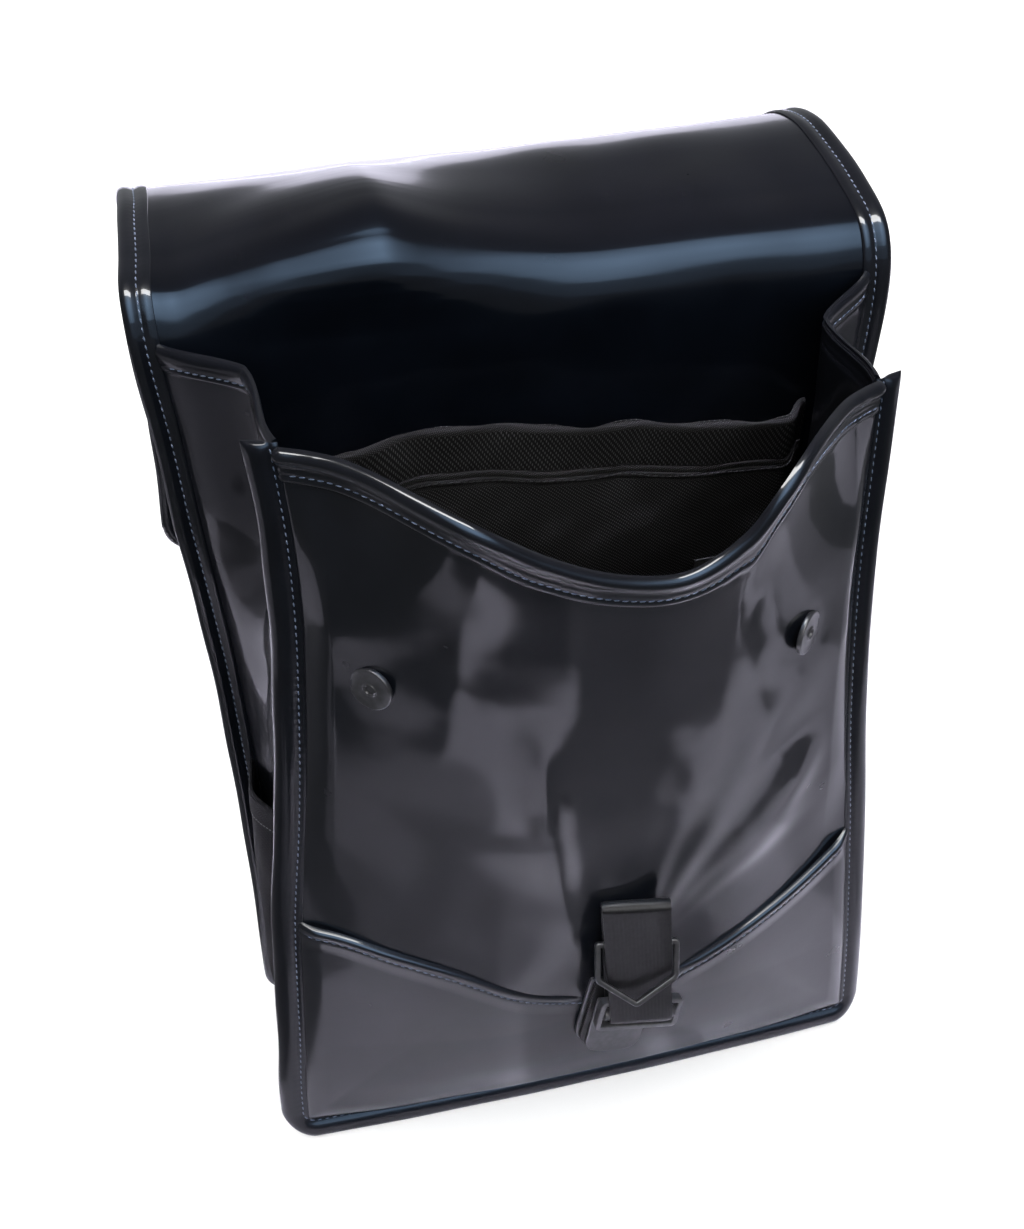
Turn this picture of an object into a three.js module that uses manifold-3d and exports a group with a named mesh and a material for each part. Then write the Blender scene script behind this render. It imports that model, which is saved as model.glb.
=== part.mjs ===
// A small backpack of glossy coated cloth, standing open with its flap thrown back.
// Millimetres. +X is to the right as seen from the front, +Y runs into the bag, +Z is up.
// The origin lies on the floor under the middle of the base.
import * as THREE from "three";
import { mergeVertices } from "three/addons/utils/BufferGeometryUtils.js";
import Module from "manifold-3d";

// Sheets and seams
const WALL = 1.6;
const GAP = 0.3;
const BINDING = 11;
const CORNER = 4;
const SEAM_CLEARANCE = 2.2;
const ARC_STEPS = 5;
const NO_STEP = 0.05;

// Front: the bound edge at each height, and how far the middle stands forward of it
const FRONT = [
  { z: 0, left: -138.5, right: 141, yLeft: -45, yRight: -45, bulge: 0 },
  { z: 14, left: -138.5, right: 141, yLeft: -45, yRight: -45, bulge: 6 },
  { z: 35, left: -138, right: 140, yLeft: -45, yRight: -45, bulge: 15 },
  { z: 60, left: -136.5, right: 138.5, yLeft: -45, yRight: -45, bulge: 18 },
  { z: 130, left: -133, right: 132.5, yLeft: -44, yRight: -45, bulge: 20 },
  { z: 190, left: -126.5, right: 126.5, yLeft: -44, yRight: -45, bulge: 31 },
  { z: 260, left: -122, right: 123.2, yLeft: -45, yRight: -44, bulge: 42 },
  { z: 310, left: -121.4, right: 123.8, yLeft: -46, yRight: -43, bulge: 48 },
  { z: 360, left: -124.6, right: 125, yLeft: -46, yRight: -42, bulge: 50 },
];
const FRONT_TOP = { left: 357, right: 347 };
const FLAT_SHARE = 0.4;
const NORMAL_STEP = 0.004;
const FRONT_PASSES = 6;
const BOTTOM_BOW = 3;
const BOW_HEIGHT = 60;

// Height of the scooped rim and of the lower panel's seam across the front
const RIM = [
  { x: -113, z: 355.5 },
  { x: -92, z: 354.5 },
  { x: -74, z: 350 },
  { x: -53, z: 340.5 },
  { x: -30, z: 325 },
  { x: -8, z: 314 },
  { x: 16, z: 308 },
  { x: 30, z: 310.5 },
  { x: 44, z: 320.5 },
  { x: 56, z: 336 },
  { x: 68, z: 345 },
  { x: 86, z: 347 },
  { x: 114, z: 346 },
];
const SEAM = [
  { x: -123, z: 131.5 },
  { x: -97, z: 125 },
  { x: -63, z: 107.5 },
  { x: -20, z: 80.5 },
  { x: 18, z: 70.5 },
  { x: 44, z: 80.5 },
  { x: 78, z: 99.5 },
  { x: 123, z: 126 },
];

// Back and flap: the sheet's middle line from the base up, over and down behind.
// The skew moves the left edge back and the right edge forward, and the tilt lowers the left edge.
const BACK = [
  { y: 45, z: BINDING, left: -133, right: 134, skew: 0, tilt: 0 },
  { y: 45, z: 100, left: -134.5, right: 135, skew: 0.5, tilt: 0 },
  { y: 43, z: 200, left: -139.5, right: 139, skew: 1.5, tilt: 0 },
  { y: 39, z: 270, left: -146.5, right: 145, skew: 3.5, tilt: 0 },
  { y: 35, z: 320, left: -151, right: 148, skew: 6, tilt: 0 },
  { y: 33, z: 355, left: -155, right: 148.5, skew: 6.5, tilt: 0 },
  { y: 40, z: 374, left: -155.5, right: 148, skew: 6.5, tilt: 0 },
  { y: 60, z: 382.5, left: -153, right: 147.5, skew: 5, tilt: 1 },
  { y: 85, z: 388, left: -151, right: 147, skew: 3, tilt: 2 },
  { y: 105, z: 389.5, left: -149, right: 147, skew: 2, tilt: 2.5 },
  { y: 127, z: 385.5, left: -148, right: 147, skew: 1, tilt: 2 },
  { y: 148, z: 373, left: -147.5, right: 147, skew: 0, tilt: 1 },
  { y: 161, z: 350, left: -147, right: 147, skew: 0, tilt: 0 },
  { y: 166, z: 308, left: -147, right: 147, skew: 0, tilt: 0 },
  { y: 167, z: 250, left: -147, right: 147, skew: 0, tilt: 0 },
  { y: 167, z: 196, left: -147, right: 147, skew: 0, tilt: 0 },
];
const BACK_DIVISIONS = 600;
const BEND_ROW = 6;
const BACK_TOP = 358;

// Gussets: how deep and how far along their tops fold inwards
const GUSSET_FOLD = {
  left: { depth: 18.5, along: 0.68 },
  right: { depth: 19, along: 0.6 },
};
const FOLD_FROM = 130;
const FOLD_FULL = 340;
const FOLD_ROUNDING = 0.6;
const BASE_FLAT_SHARE = 0.5;
const BASE_TURN_SHARE = 0.1;
const BASE_TURN_FROM = 16;
const BASE_DROP_SHARE = 0.18;

// Inner sleeve, label and side pockets
const SLEEVE_WALL = 3;
const SLEEVE_LOW = 26;
const SLEEVE_LEFT = -112;
const SLEEVE_RIGHT = 106;
const SLEEVE_ROOM = 17;
const SLEEVE_EDGE = 15;
const SLEEVE_FOOT = 110;
const SLEEVE_RIM = [
  { x: -112, z: 303 },
  { x: -80, z: 313 },
  { x: -42, z: 318 },
  { x: 20, z: 311 },
  { x: 106, z: 303 },
];
const LABEL = { left: 68, right: 91, low: 198, high: 236, wall: 1, off: 0.5 };
const POCKET_WALL = 1.2;
const POCKET_TOP = { front: 181, rear: 150 };
const POCKET_LOW = 24;
const POCKET_ROOM = 8;
const POCKET_SEAM_SHARE = 0.02;
const POCKET_PUFF_SHARE = 0.35;

// Shoulder straps
const STRAP_WIDTH = 46;
const STRAP_THICK = 5;
const STRAP_STEPS = 22;
const STRAP = [
  { along: 0, out: 0, side: 42, z: 322 },
  { along: 0.2, out: 16, side: 46, z: 272 },
  { along: 0.5, out: 26, side: 58, z: 186 },
  { along: 0.8, out: 14, side: 76, z: 96 },
  { along: 1, out: 0, side: 88, z: 44 },
];

// Snaps
const SNAP = { radius: 9, neck: 6, neckHigh: 2.2, high: 4.4, bevel: 0.5 };
const SNAP_RING = { radius: 2.6, wall: 0.9, high: 0.5, recess: 0.6 };
const ROUND_SEGMENTS = 20;
const SNAP_SPOTS = [
  { name: "snap_left", x: -84, z: 260 },
  { name: "snap_right", x: 80, z: 250 },
];

// Buckle, in the panel's own plane: the bar is the origin and the tab leans by the roll
const BUCKLE = { x: 17, z: 69, roll: -12 };
const TAB_WIDTH = 26;
const TAB_ROUND = 9;
const TAB_LAYERS = [
  { name: "tab_back_plate", x: -9, z: -26, high: 38, thick: 1.8, colour: 0x2e2e30, metal: 0.8 },
  { name: "tab_webbing", x: -7.5, z: -26.5, high: 38, thick: 2.2, colour: 0x161617, metal: 0 },
  { name: "tab_front_plate", x: -5, z: -29, high: 33, thick: 1.5, colour: 0x3a3a3c, metal: 0.8 },
];
const BRACKET = { width: 38.4, high: 17, rail: 2.4, foot: 2.1, deep: 4.4, cut: 3, holeCut: 1, footCut: 0.5 };
const FOOT_BURIED = 1;
const BAR_RADIUS = 2.6;
const BAR_FORWARD = 4.9;
const TAPE_STEPS = 9;
const TAPE = { width: 28.8, wall: 1.4, top: { x: 15, z: 129 }, topRadius: 2.9, yaw: 11, forward: 8.4 };
const RING = { width: 36.5, high: 30, wire: 2.4, deep: 3, top: 4, point: 12.5, tip: 1.5, lean: 22, at: 0.66 };

const COATED = { color: 0x0a0d18, roughness: 0.12, metalness: 0.1 };
const NYLON = { color: 0x0d0d0e, roughness: 0.9, metalness: 0 };
const GUNMETAL = { color: 0x303033, roughness: 0.45, metalness: 0.8 };
const TAPE_BLACK = { color: 0x141415, roughness: 0.5, metalness: 0 };
const GREY = { color: 0x3c3c3e, roughness: 0.8, metalness: 0 };

const { lerp, clamp, smoothstep, degToRad } = THREE.MathUtils;
const bag = new THREE.Group();

/** Adds a named mesh to a group. */
function addPiece(name, geometry, finish, group = bag) {
  const mesh = new THREE.Mesh(geometry, new THREE.MeshStandardMaterial(finish));
  mesh.name = name;
  group.add(mesh);
  return mesh;
}

/** A column of a table at a value of its key, eased between the rows. */
function read(table, key, value, column) {
  const last = table.length - 1;
  const at = clamp(value, table[0][key], table[last][key]);
  let i = 0;
  while (i < last - 1 && table[i + 1][key] < at) i += 1;
  const span = table[i + 1][key] - table[i][key];
  const t = (at - table[i][key]) / span;
  const slope = (k) => {
    const a = table[Math.max(k - 1, 0)];
    const b = table[Math.min(k + 1, last)];
    return (span * (b[column] - a[column])) / (b[key] - a[key]);
  };
  const hold = 2 * t ** 3 - 3 * t ** 2 + 1;
  const start = (t ** 3 - 2 * t ** 2 + t) * slope(i);
  const end = (t ** 3 - t ** 2) * slope(i + 1);
  return hold * table[i][column] + start + (1 - hold) * table[i + 1][column] + end;
}

/** A closed wall: a box of nu by nv cells whose points are placed by (u, v, side), side -0.5 to 0.5. */
function wall(nu, nv, place) {
  const box = new THREE.BoxGeometry(1, 1, 1, nu, nv, 1);
  const points = box.attributes.position;
  for (let i = 0; i < points.count; i += 1) {
    const spot = place(points.getX(i) + 0.5, points.getY(i) + 0.5, points.getZ(i));
    points.setXYZ(i, spot.x, spot.y, spot.z);
  }
  return box;
}

/** A wall of a thickness on a surface (u, v), measured along the surface's normal. */
function sheet(nu, nv, thickness, surface) {
  const step = NORMAL_STEP;
  return wall(nu, nv, (u, v, side) => {
    const across = surface(u + step, v).sub(surface(u - step, v));
    const up = surface(u, v + step).sub(surface(u, v - step));
    const normal = across.cross(up).normalize();
    return surface(u, v).addScaledVector(normal, side * thickness);
  });
}

/** A closed mesh through rings of points, with flat ends, or joined end to end. */
function skin(rings, closed) {
  const count = rings[0].length;
  const points = rings.flat();
  const faces = [];
  const spans = closed ? rings.length : rings.length - 1;
  for (let i = 0; i < spans; i += 1) {
    const a = i * count;
    const b = ((i + 1) % rings.length) * count;
    for (let j = 0; j < count; j += 1) {
      const k = (j + 1) % count;
      faces.push(a + j, b + j, a + k, a + k, b + j, b + k);
    }
  }
  if (!closed) {
    const end = (rings.length - 1) * count;
    for (let j = 1; j < count - 1; j += 1) {
      faces.push(0, j, j + 1, end, end + j + 1, end + j);
    }
  }
  return new THREE.BufferGeometry().setFromPoints(points).setIndex(faces);
}

const wasm = await Module();
wasm.setup();

/** A closed mesh as a solid that can be joined. */
function solidOf(geometry) {
  const bare = geometry.clone();
  bare.deleteAttribute("normal");
  bare.deleteAttribute("uv");
  const merged = mergeVertices(bare, 1e-3);
  const mesh = new wasm.Mesh({
    numProp: 3,
    vertProperties: merged.attributes.position.array,
    triVerts: new Uint32Array(merged.index.array),
  });
  return new wasm.Manifold(mesh);
}

/** Two closed meshes as one. */
function join(first, second) {
  const mesh = solidOf(first).add(solidOf(second)).getMesh();
  const points = new THREE.BufferAttribute(new Float32Array(mesh.vertProperties), 3);
  const faces = new THREE.BufferAttribute(new Uint32Array(mesh.triVerts), 1);
  return new THREE.BufferGeometry().setAttribute("position", points).setIndex(faces);
}

// Front surface

const frontLeft = (z) => read(FRONT, "z", z, "left") + BINDING;
const frontRight = (z) => read(FRONT, "z", z, "right") - BINDING;

/** Depth of the front's bound edge line, carried straight across the bag. */
function frontEdgeY(x, z) {
  const share = clamp((x - frontLeft(z)) / (frontRight(z) - frontLeft(z)), 0, 1);
  const bow = BOTTOM_BOW * (1 - (2 * share - 1) ** 2) * Math.max(0, 1 - z / BOW_HEIGHT);
  return lerp(read(FRONT, "z", z, "yLeft"), read(FRONT, "z", z, "yRight"), share) - bow;
}

/** Depth of the bulging front. */
function frontY(x, z) {
  const share = (x - frontLeft(z)) / (frontRight(z) - frontLeft(z));
  const slope = clamp((Math.abs(2 * share - 1) - FLAT_SHARE) / (1 - FLAT_SHARE), 0, 1);
  return frontEdgeY(x, z) - read(FRONT, "z", z, "bulge") * 0.5 * (1 + Math.cos(Math.PI * slope));
}

/** The front between two heights that vary across it. */
function frontSurface(low, high) {
  return (u, v) => {
    let z = BINDING;
    let x = 0;
    for (let i = 0; i < FRONT_PASSES; i += 1) {
      const round = clamp(1 - (z - BINDING) / CORNER, 0, 1);
      const inset = CORNER * (1 - Math.sqrt(1 - round ** 2));
      x = lerp(frontLeft(z) + inset, frontRight(z) - inset, u);
      z = lerp(low(x), high(x), v);
    }
    return new THREE.Vector3(x, frontY(x, z), z);
  };
}

/** Outward normal of the front at a spot. */
function frontNormal(x, z) {
  const slopeX = (frontY(x + 1, z) - frontY(x - 1, z)) / 2;
  const slopeZ = (frontY(x, z + 1) - frontY(x, z - 1)) / 2;
  return new THREE.Vector3(slopeX, -1, slopeZ).normalize();
}

// Back surface

const backLine = new THREE.CatmullRomCurve3(BACK.map((row) => new THREE.Vector3(0, row.y, row.z)));
backLine.arcLengthDivisions = BACK_DIVISIONS;
const BACK_LENGTH = backLine.getLength();
const backRows = BACK.map((row, i) => {
  const lengths = backLine.getLengths(BACK_DIVISIONS);
  return { ...row, along: lengths[Math.round((BACK_DIVISIONS * i) / (BACK.length - 1))] };
});
const backLeft = (along) => read(backRows, "along", along, "left") + BINDING;
const backRight = (along) => read(backRows, "along", along, "right") - BINDING;

/** A point of the back sheet, or of its plane carried past its ends, lifted off along its normal. */
function backPoint(x, along, lift = 0) {
  const share = clamp(along / BACK_LENGTH, 0, 1);
  const spot = backLine.getPointAt(share);
  const tangent = backLine.getTangentAt(share);
  const past = along - share * BACK_LENGTH;
  const leftShare = x / BACK[0].left;
  const skew = read(backRows, "along", along, "skew") * leftShare;
  const tilt = read(backRows, "along", along, "tilt") * leftShare;
  return new THREE.Vector3(
    x,
    spot.y + tangent.y * past + tangent.z * lift + skew,
    spot.z + tangent.z * past - tangent.y * lift - tilt,
  );
}

/** Distance along the back sheet at which it stands at a height, below the bend. */
function backAlong(z) {
  let low = 0;
  let high = backRows[BEND_ROW].along;
  for (let i = 0; i < 30; i += 1) {
    const mid = (low + high) / 2;
    if (backPoint(0, mid).z < z) low = mid;
    else high = mid;
  }
  return low;
}

// Bound edges

/** Edge of a sheet from its top left corner round the bottom, with the outward direction at each stop. */
function edgePath(left, right, low, high, sideSteps, endSteps, closed) {
  const stops = [];
  const arc = (x, s, from) => {
    for (let i = 0; i <= ARC_STEPS; i += 1) {
      const angle = degToRad(from + (90 * i) / ARC_STEPS);
      const out = { x: Math.cos(angle), s: Math.sin(angle) };
      stops.push({ x: x + CORNER * out.x, s: s + CORNER * out.s, out });
    }
  };
  const highEnd = closed ? CORNER : 0;
  const side = (edge, from, to, out) => {
    for (let i = 0; i < sideSteps; i += 1) {
      const s = lerp(from, to, i / sideSteps);
      stops.push({ x: edge(s), s, out: { x: out, s: 0 } });
    }
  };
  const end = (from, to, s, out) => {
    for (let i = 1; i < endSteps; i += 1) {
      stops.push({ x: lerp(from, to, i / endSteps), s, out: { x: 0, s: out } });
    }
  };
  side(left, high.left - highEnd, low + CORNER, -1);
  arc(left(low) + CORNER, low + CORNER, 180);
  end(left(low) + CORNER, right(low) - CORNER, low, -1);
  arc(right(low) - CORNER, low + CORNER, 270);
  side(right, low + CORNER, high.right - highEnd, 1);
  if (closed) {
    arc(right(high.right) - CORNER, high.right - CORNER, 0);
    end(right(high.right) - CORNER, left(high.left) + CORNER, high.right, 1);
    arc(left(high.left) + CORNER, high.left - CORNER, 90);
  } else {
    stops.push({ x: right(high.right), s: high.right, out: { x: 1, s: 0 } });
  }
  const step = (a, b) => Math.hypot(a.x - b.x, a.s - b.s);
  return stops.filter((stop, i) => i === 0 || step(stop, stops[i - 1]) > NO_STEP);
}

// Section of a bound edge: distance out from the sheet's edge, and half its thickness there
const BINDING_SECTION = [
  { out: GAP, half: 1.4 },
  { out: 0.6 * BINDING, half: 1.8 },
  { out: 0.88 * BINDING, half: 2 },
  { out: BINDING, half: 0.5 },
];
const BINDING_LOOP = [
  ...BINDING_SECTION.map((row) => ({ out: row.out, lift: row.half })),
  ...[...BINDING_SECTION].reverse().map((row) => ({ out: row.out, lift: -row.half })),
];

/** A binding along an edge path, on the surface that place(x, s, lift) gives. */
function binding(path, place, closed) {
  const rings = path.map((stop) =>
    BINDING_LOOP.map((row) => place(stop.x + stop.out.x * row.out, stop.s + stop.out.s * row.out, row.lift)),
  );
  return skin(rings, closed);
}

const frontPath = edgePath(frontLeft, frontRight, BINDING, FRONT_TOP, 12, 8, false);
addPiece(
  "front_binding",
  binding(frontPath, (x, z, lift) => new THREE.Vector3(x, frontEdgeY(x, z) + lift, z), false),
  COATED,
);
const backEnds = { left: BACK_LENGTH, right: BACK_LENGTH };
const backPath = edgePath(backLeft, backRight, 0, backEnds, 28, 4, true);
addPiece(
  "back_binding",
  binding(backPath, (x, along, lift) => backPoint(x, along, lift), true),
  COATED,
);

// Front panels, parted at the curved seam

const seamZ = (x) => read(SEAM, "x", x, "z");
addPiece(
  "front_panel",
  sheet(20, 12, WALL, frontSurface((x) => seamZ(x) + GAP / 2, (x) => read(RIM, "x", x, "z"))),
  COATED,
);
addPiece(
  "lower_front_panel",
  sheet(20, 8, WALL, frontSurface(() => BINDING, (x) => seamZ(x) - GAP / 2)),
  COATED,
);

// Back and flap

addPiece(
  "back_and_flap",
  sheet(12, 32, WALL, (u, v) => {
    const along = v * BACK_LENGTH;
    const ends = Math.min(along, BACK_LENGTH - along);
    const round = clamp(1 - ends / CORNER, 0, 1);
    const inset = CORNER * (1 - Math.sqrt(1 - round ** 2));
    const x = lerp(backLeft(along) + inset, backRight(along) - inset, u);
    return backPoint(x, along);
  }),
  COATED,
);

// Gussets and base

/** Inward fold of a gusset at a share of its depth and a height. */
function foldDepth(fold, share, z) {
  const peak = share < fold.along ? share / fold.along : (1 - share) / (1 - fold.along);
  const rounded = peak * peak * (3 - 2 * peak);
  return fold.depth * lerp(peak, rounded, FOLD_ROUNDING) * smoothstep(z, FOLD_FROM, FOLD_FULL);
}

/** Surface of one side, from the front seam to the back seam, moved inwards by a distance. */
function gussetPoint(sideName, share, v, inwards) {
  const isLeft = sideName === "left";
  const zFront = lerp(BINDING + CORNER, FRONT_TOP[sideName], v);
  const zBack = lerp(BINDING + CORNER, BACK_TOP, v);
  const xFront = isLeft ? frontLeft(zFront) : frontRight(zFront);
  const alongBack = backAlong(zBack);
  const xBack = isLeft ? backLeft(alongBack) : backRight(alongBack);
  const front = new THREE.Vector3(xFront, frontEdgeY(xFront, zFront) + SEAM_CLEARANCE, zFront);
  const back = backPoint(xBack, alongBack);
  back.y -= SEAM_CLEARANCE;
  const spot = front.lerp(back, share);
  const inner = foldDepth(GUSSET_FOLD[sideName], share, spot.z) + inwards;
  spot.x += isLeft ? inner : -inner;
  return spot;
}

for (const sideName of ["left", "right"]) {
  const flip = sideName === "left" ? (u) => 1 - u : (u) => u;
  addPiece(
    `gusset_${sideName}`,
    sheet(10, 13, WALL, (u, v) => gussetPoint(sideName, flip(u), v, WALL / 2)),
    COATED,
  );
  const nylonTop = (share) => lerp(POCKET_TOP.front, POCKET_TOP.rear, share);
  const span = FRONT_TOP[sideName] - BINDING - CORNER;
  addPiece(
    `side_pocket_${sideName}`,
    sheet(10, 8, POCKET_WALL, (u, v) => {
      const share = lerp(POCKET_SEAM_SHARE, 1 - POCKET_SEAM_SHARE, flip(u));
      const z = lerp(POCKET_LOW, nylonTop(share), v);
      const puff = POCKET_ROOM * Math.sin(Math.PI * share) * smoothstep(v, 0, POCKET_PUFF_SHARE);
      const outwards = GAP + POCKET_WALL / 2 + puff;
      return gussetPoint(sideName, share, (z - BINDING - CORNER) / span, -outwards);
    }),
    NYLON,
  );
}

/** Height of the base across the bag: flat on the floor, rising to the bound edges. */
function baseRise(share) {
  const edge = clamp((Math.abs(2 * share - 1) - BASE_FLAT_SHARE) / (1 - BASE_FLAT_SHARE), 0, 1);
  return smoothstep(edge, 0, 1);
}

addPiece(
  "base_panel",
  sheet(20, 8, WALL, (u, v) => {
    const turn = clamp(Math.min(u, 1 - u) / BASE_TURN_SHARE, 0, 1);
    const angle = degToRad(lerp(BASE_TURN_FROM, 90, turn));
    const round = CORNER - WALL / 2;
    const middle = clamp((u - BASE_TURN_SHARE) / (1 - 2 * BASE_TURN_SHARE), 0, 1);
    const left = lerp(frontLeft(BINDING), backLeft(0), v) + CORNER;
    const right = lerp(frontRight(BINDING), backRight(0), v) - CORNER;
    const outwards = (u < 0.5 ? -1 : 1) * round * Math.cos(angle);
    const x = lerp(left, right, middle) + outwards;
    const y = lerp(frontEdgeY(x, BINDING) + SEAM_CLEARANCE, BACK[0].y - SEAM_CLEARANCE, v);
    const drop = smoothstep(Math.min(middle, 1 - middle), 0, BASE_DROP_SHARE) * (1 - baseRise(v));
    return new THREE.Vector3(x, y, BINDING + CORNER - round * Math.sin(angle) - BINDING * drop);
  }),
  COATED,
);

// Sleeve inside the back, and its label

/** Middle of the sleeve's wall: sewn down at its sides and foot, standing off the back above. */
function sleevePoint(x, z, forward) {
  const sides = smoothstep(Math.min(x - SLEEVE_LEFT, SLEEVE_RIGHT - x), 0, SLEEVE_EDGE);
  const room = SLEEVE_ROOM * sides * smoothstep(z, SLEEVE_LOW, SLEEVE_LOW + SLEEVE_FOOT);
  const spot = backPoint(x, backAlong(z));
  spot.y -= WALL / 2 + GAP + SLEEVE_WALL / 2 + room + forward;
  spot.z = z;
  return spot;
}

addPiece(
  "inner_sleeve",
  sheet(16, 10, SLEEVE_WALL, (u, v) => {
    const x = lerp(SLEEVE_LEFT, SLEEVE_RIGHT, u);
    return sleevePoint(x, lerp(SLEEVE_LOW, read(SLEEVE_RIM, "x", x, "z"), v), 0);
  }),
  NYLON,
);
const labelForward = SLEEVE_WALL / 2 + LABEL.off + LABEL.wall / 2;
addPiece(
  "inner_label",
  sheet(6, 6, LABEL.wall, (u, v) => {
    const x = lerp(LABEL.left, LABEL.right, u);
    return sleevePoint(x, lerp(LABEL.low, LABEL.high, v), labelForward);
  }),
  GREY,
);

// Shoulder straps

for (const [name, way] of [["shoulder_strap_left", -1], ["shoulder_strap_right", 1]]) {
  const rings = [];
  for (let i = 0; i <= STRAP_STEPS; i += 1) {
    const t = i / STRAP_STEPS;
    const x = way * read(STRAP, "along", t, "side");
    const z = read(STRAP, "along", t, "z");
    const out = WALL / 2 + 2 * GAP + read(STRAP, "along", t, "out");
    const corner = (dx, dy) => {
      const spot = backPoint(x + dx * STRAP_WIDTH * 0.5, backAlong(z));
      spot.y += out + dy * STRAP_THICK;
      spot.z = z;
      return spot;
    };
    rings.push([corner(-1, 0), corner(1, 0), corner(1, 1), corner(-1, 1)]);
  }
  addPiece(name, skin(rings, false), NYLON);
}

// Magnetic snaps

/** Profile of a snap from its foot up to the raised ring round its middle. */
function snapProfile() {
  const { radius, neck, neckHigh, high, bevel } = SNAP;
  const ring = SNAP_RING.radius;
  const inside = ring - SNAP_RING.wall;
  const crown = high + SNAP_RING.high;
  const floor = high - SNAP_RING.recess;
  return [
    [0, 0],
    [neck, 0],
    [neck, neckHigh],
    [radius, neckHigh],
    [radius, high - bevel],
    [radius - bevel, high],
    [ring, high],
    [ring, crown],
    [inside, crown],
    [inside, floor],
    [0, floor],
  ].map(([r, h]) => new THREE.Vector2(r, h));
}

for (const spot of SNAP_SPOTS) {
  const snap = addPiece(spot.name, new THREE.LatheGeometry(snapProfile(), ROUND_SEGMENTS), GUNMETAL);
  const normal = frontNormal(spot.x, spot.z);
  snap.position.set(spot.x, frontY(spot.x, spot.z), spot.z);
  snap.position.addScaledVector(normal, WALL / 2 + 2 * GAP);
  snap.quaternion.setFromUnitVectors(new THREE.Vector3(0, 1, 0), normal);
}

// Buckle on the lower front

/** An outline with an inner hole, made thick along -Y and centred on its own plane. */
function plate(outline, holes, thick) {
  const flat = (corners) => corners.map(([x, z]) => new THREE.Vector2(x, z));
  const shape = new THREE.Shape(flat(outline));
  for (const hole of holes) shape.holes.push(new THREE.Path(flat(hole)));
  const solid = new THREE.ExtrudeGeometry(shape, { depth: thick, bevelEnabled: false, steps: 1 });
  return solid.rotateX(Math.PI / 2);
}

/** Corner points of a rectangle, each corner cut by a chamfer. */
function rectangle(width, high, cut) {
  const w = width / 2;
  const h = high / 2;
  return [
    [-w + cut, -h],
    [w - cut, -h],
    [w, -h + cut],
    [w, h - cut],
    [w - cut, h],
    [-w + cut, h],
    [-w, h - cut],
    [-w, -h + cut],
  ];
}

/** A tab with a straight top and a rounded foot. */
function tabOutline(left, low, high) {
  const points = [];
  for (const [x, from] of [[left + TAB_ROUND, 180], [left + TAB_WIDTH - TAB_ROUND, 270]]) {
    for (let i = 0; i <= ARC_STEPS; i += 1) {
      const angle = degToRad(from + (90 * i) / ARC_STEPS);
      points.push([x + TAB_ROUND * Math.cos(angle), low + TAB_ROUND * (1 + Math.sin(angle))]);
    }
  }
  return [...points, [left + TAB_WIDTH, low + high], [left, low + high]];
}

const seat = new THREE.Vector3(BUCKLE.x, frontY(BUCKLE.x, BUCKLE.z), BUCKLE.z);
const seatNormal = frontNormal(BUCKLE.x, BUCKLE.z);
const buckle = new THREE.Group();
buckle.position.copy(seat).addScaledVector(seatNormal, WALL / 2 + GAP);
buckle.rotation.set(Math.asin(-seatNormal.z), degToRad(-BUCKLE.roll), 0, "XYZ");
bag.add(buckle);

let lift = GAP;
for (const layer of TAB_LAYERS) {
  const finish = { color: layer.colour, roughness: 0.5, metalness: layer.metal };
  const piece = addPiece(
    layer.name,
    plate(tabOutline(layer.x - TAB_WIDTH / 2, layer.z, layer.high), [], layer.thick),
    finish,
    buckle,
  );
  piece.position.y = -lift;
  lift += layer.thick + GAP;
}
const holeWidth = BRACKET.width - 2 * BRACKET.rail;
const bracketHole = rectangle(holeWidth, BRACKET.high - 2 * BRACKET.rail, BRACKET.holeCut).reverse();
const bracketFrame = plate(rectangle(BRACKET.width, BRACKET.high, BRACKET.cut), [bracketHole], BRACKET.deep);
bracketFrame.translate(0, -BRACKET.foot, 0);
const footOutline = rectangle(BRACKET.width / 2, BRACKET.rail, BRACKET.footCut);
const bracketFoot = plate(footOutline, [], BRACKET.foot + FOOT_BURIED);
bracketFoot.translate(0, 0, (BRACKET.rail - BRACKET.high) / 2);
const bracket = addPiece("buckle_bracket", join(bracketFrame, bracketFoot), GUNMETAL, buckle);
bracket.position.y = -lift;
const barOut = lift + BAR_FORWARD;
const barShape = new THREE.CylinderGeometry(BAR_RADIUS, BAR_RADIUS, holeWidth - 2 * GAP, ROUND_SEGMENTS);
const bar = addPiece("buckle_bar", barShape, GUNMETAL, buckle);
bar.rotation.z = Math.PI / 2;
bar.position.y = -barOut;

// The tape runs round the bar and stands up from it, turning towards one side as it rises

buckle.updateMatrixWorld(true);
const barCentre = buckle.localToWorld(new THREE.Vector3(0, -barOut, 0));
const barAxis = new THREE.Vector3(1, 0, 0).transformDirection(buckle.matrixWorld);
const tapeTop = new THREE.Vector3(TAPE.top.x, frontY(TAPE.top.x, TAPE.top.z) - TAPE.forward, TAPE.top.z);
const topAxis = new THREE.Vector3(Math.cos(degToRad(TAPE.yaw)), -Math.sin(degToRad(TAPE.yaw)), 0);

/** Frame of the tape at a share of its height: its middle, across, up and forward. */
function tapeFrame(share) {
  const middle = barCentre.clone().lerp(tapeTop, share);
  const across = barAxis.clone().lerp(topAxis, share).normalize();
  const rise = tapeTop.clone().sub(barCentre);
  const up = rise.addScaledVector(across, -rise.dot(across)).normalize();
  return { middle, across, up, forward: across.clone().cross(up) };
}

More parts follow.
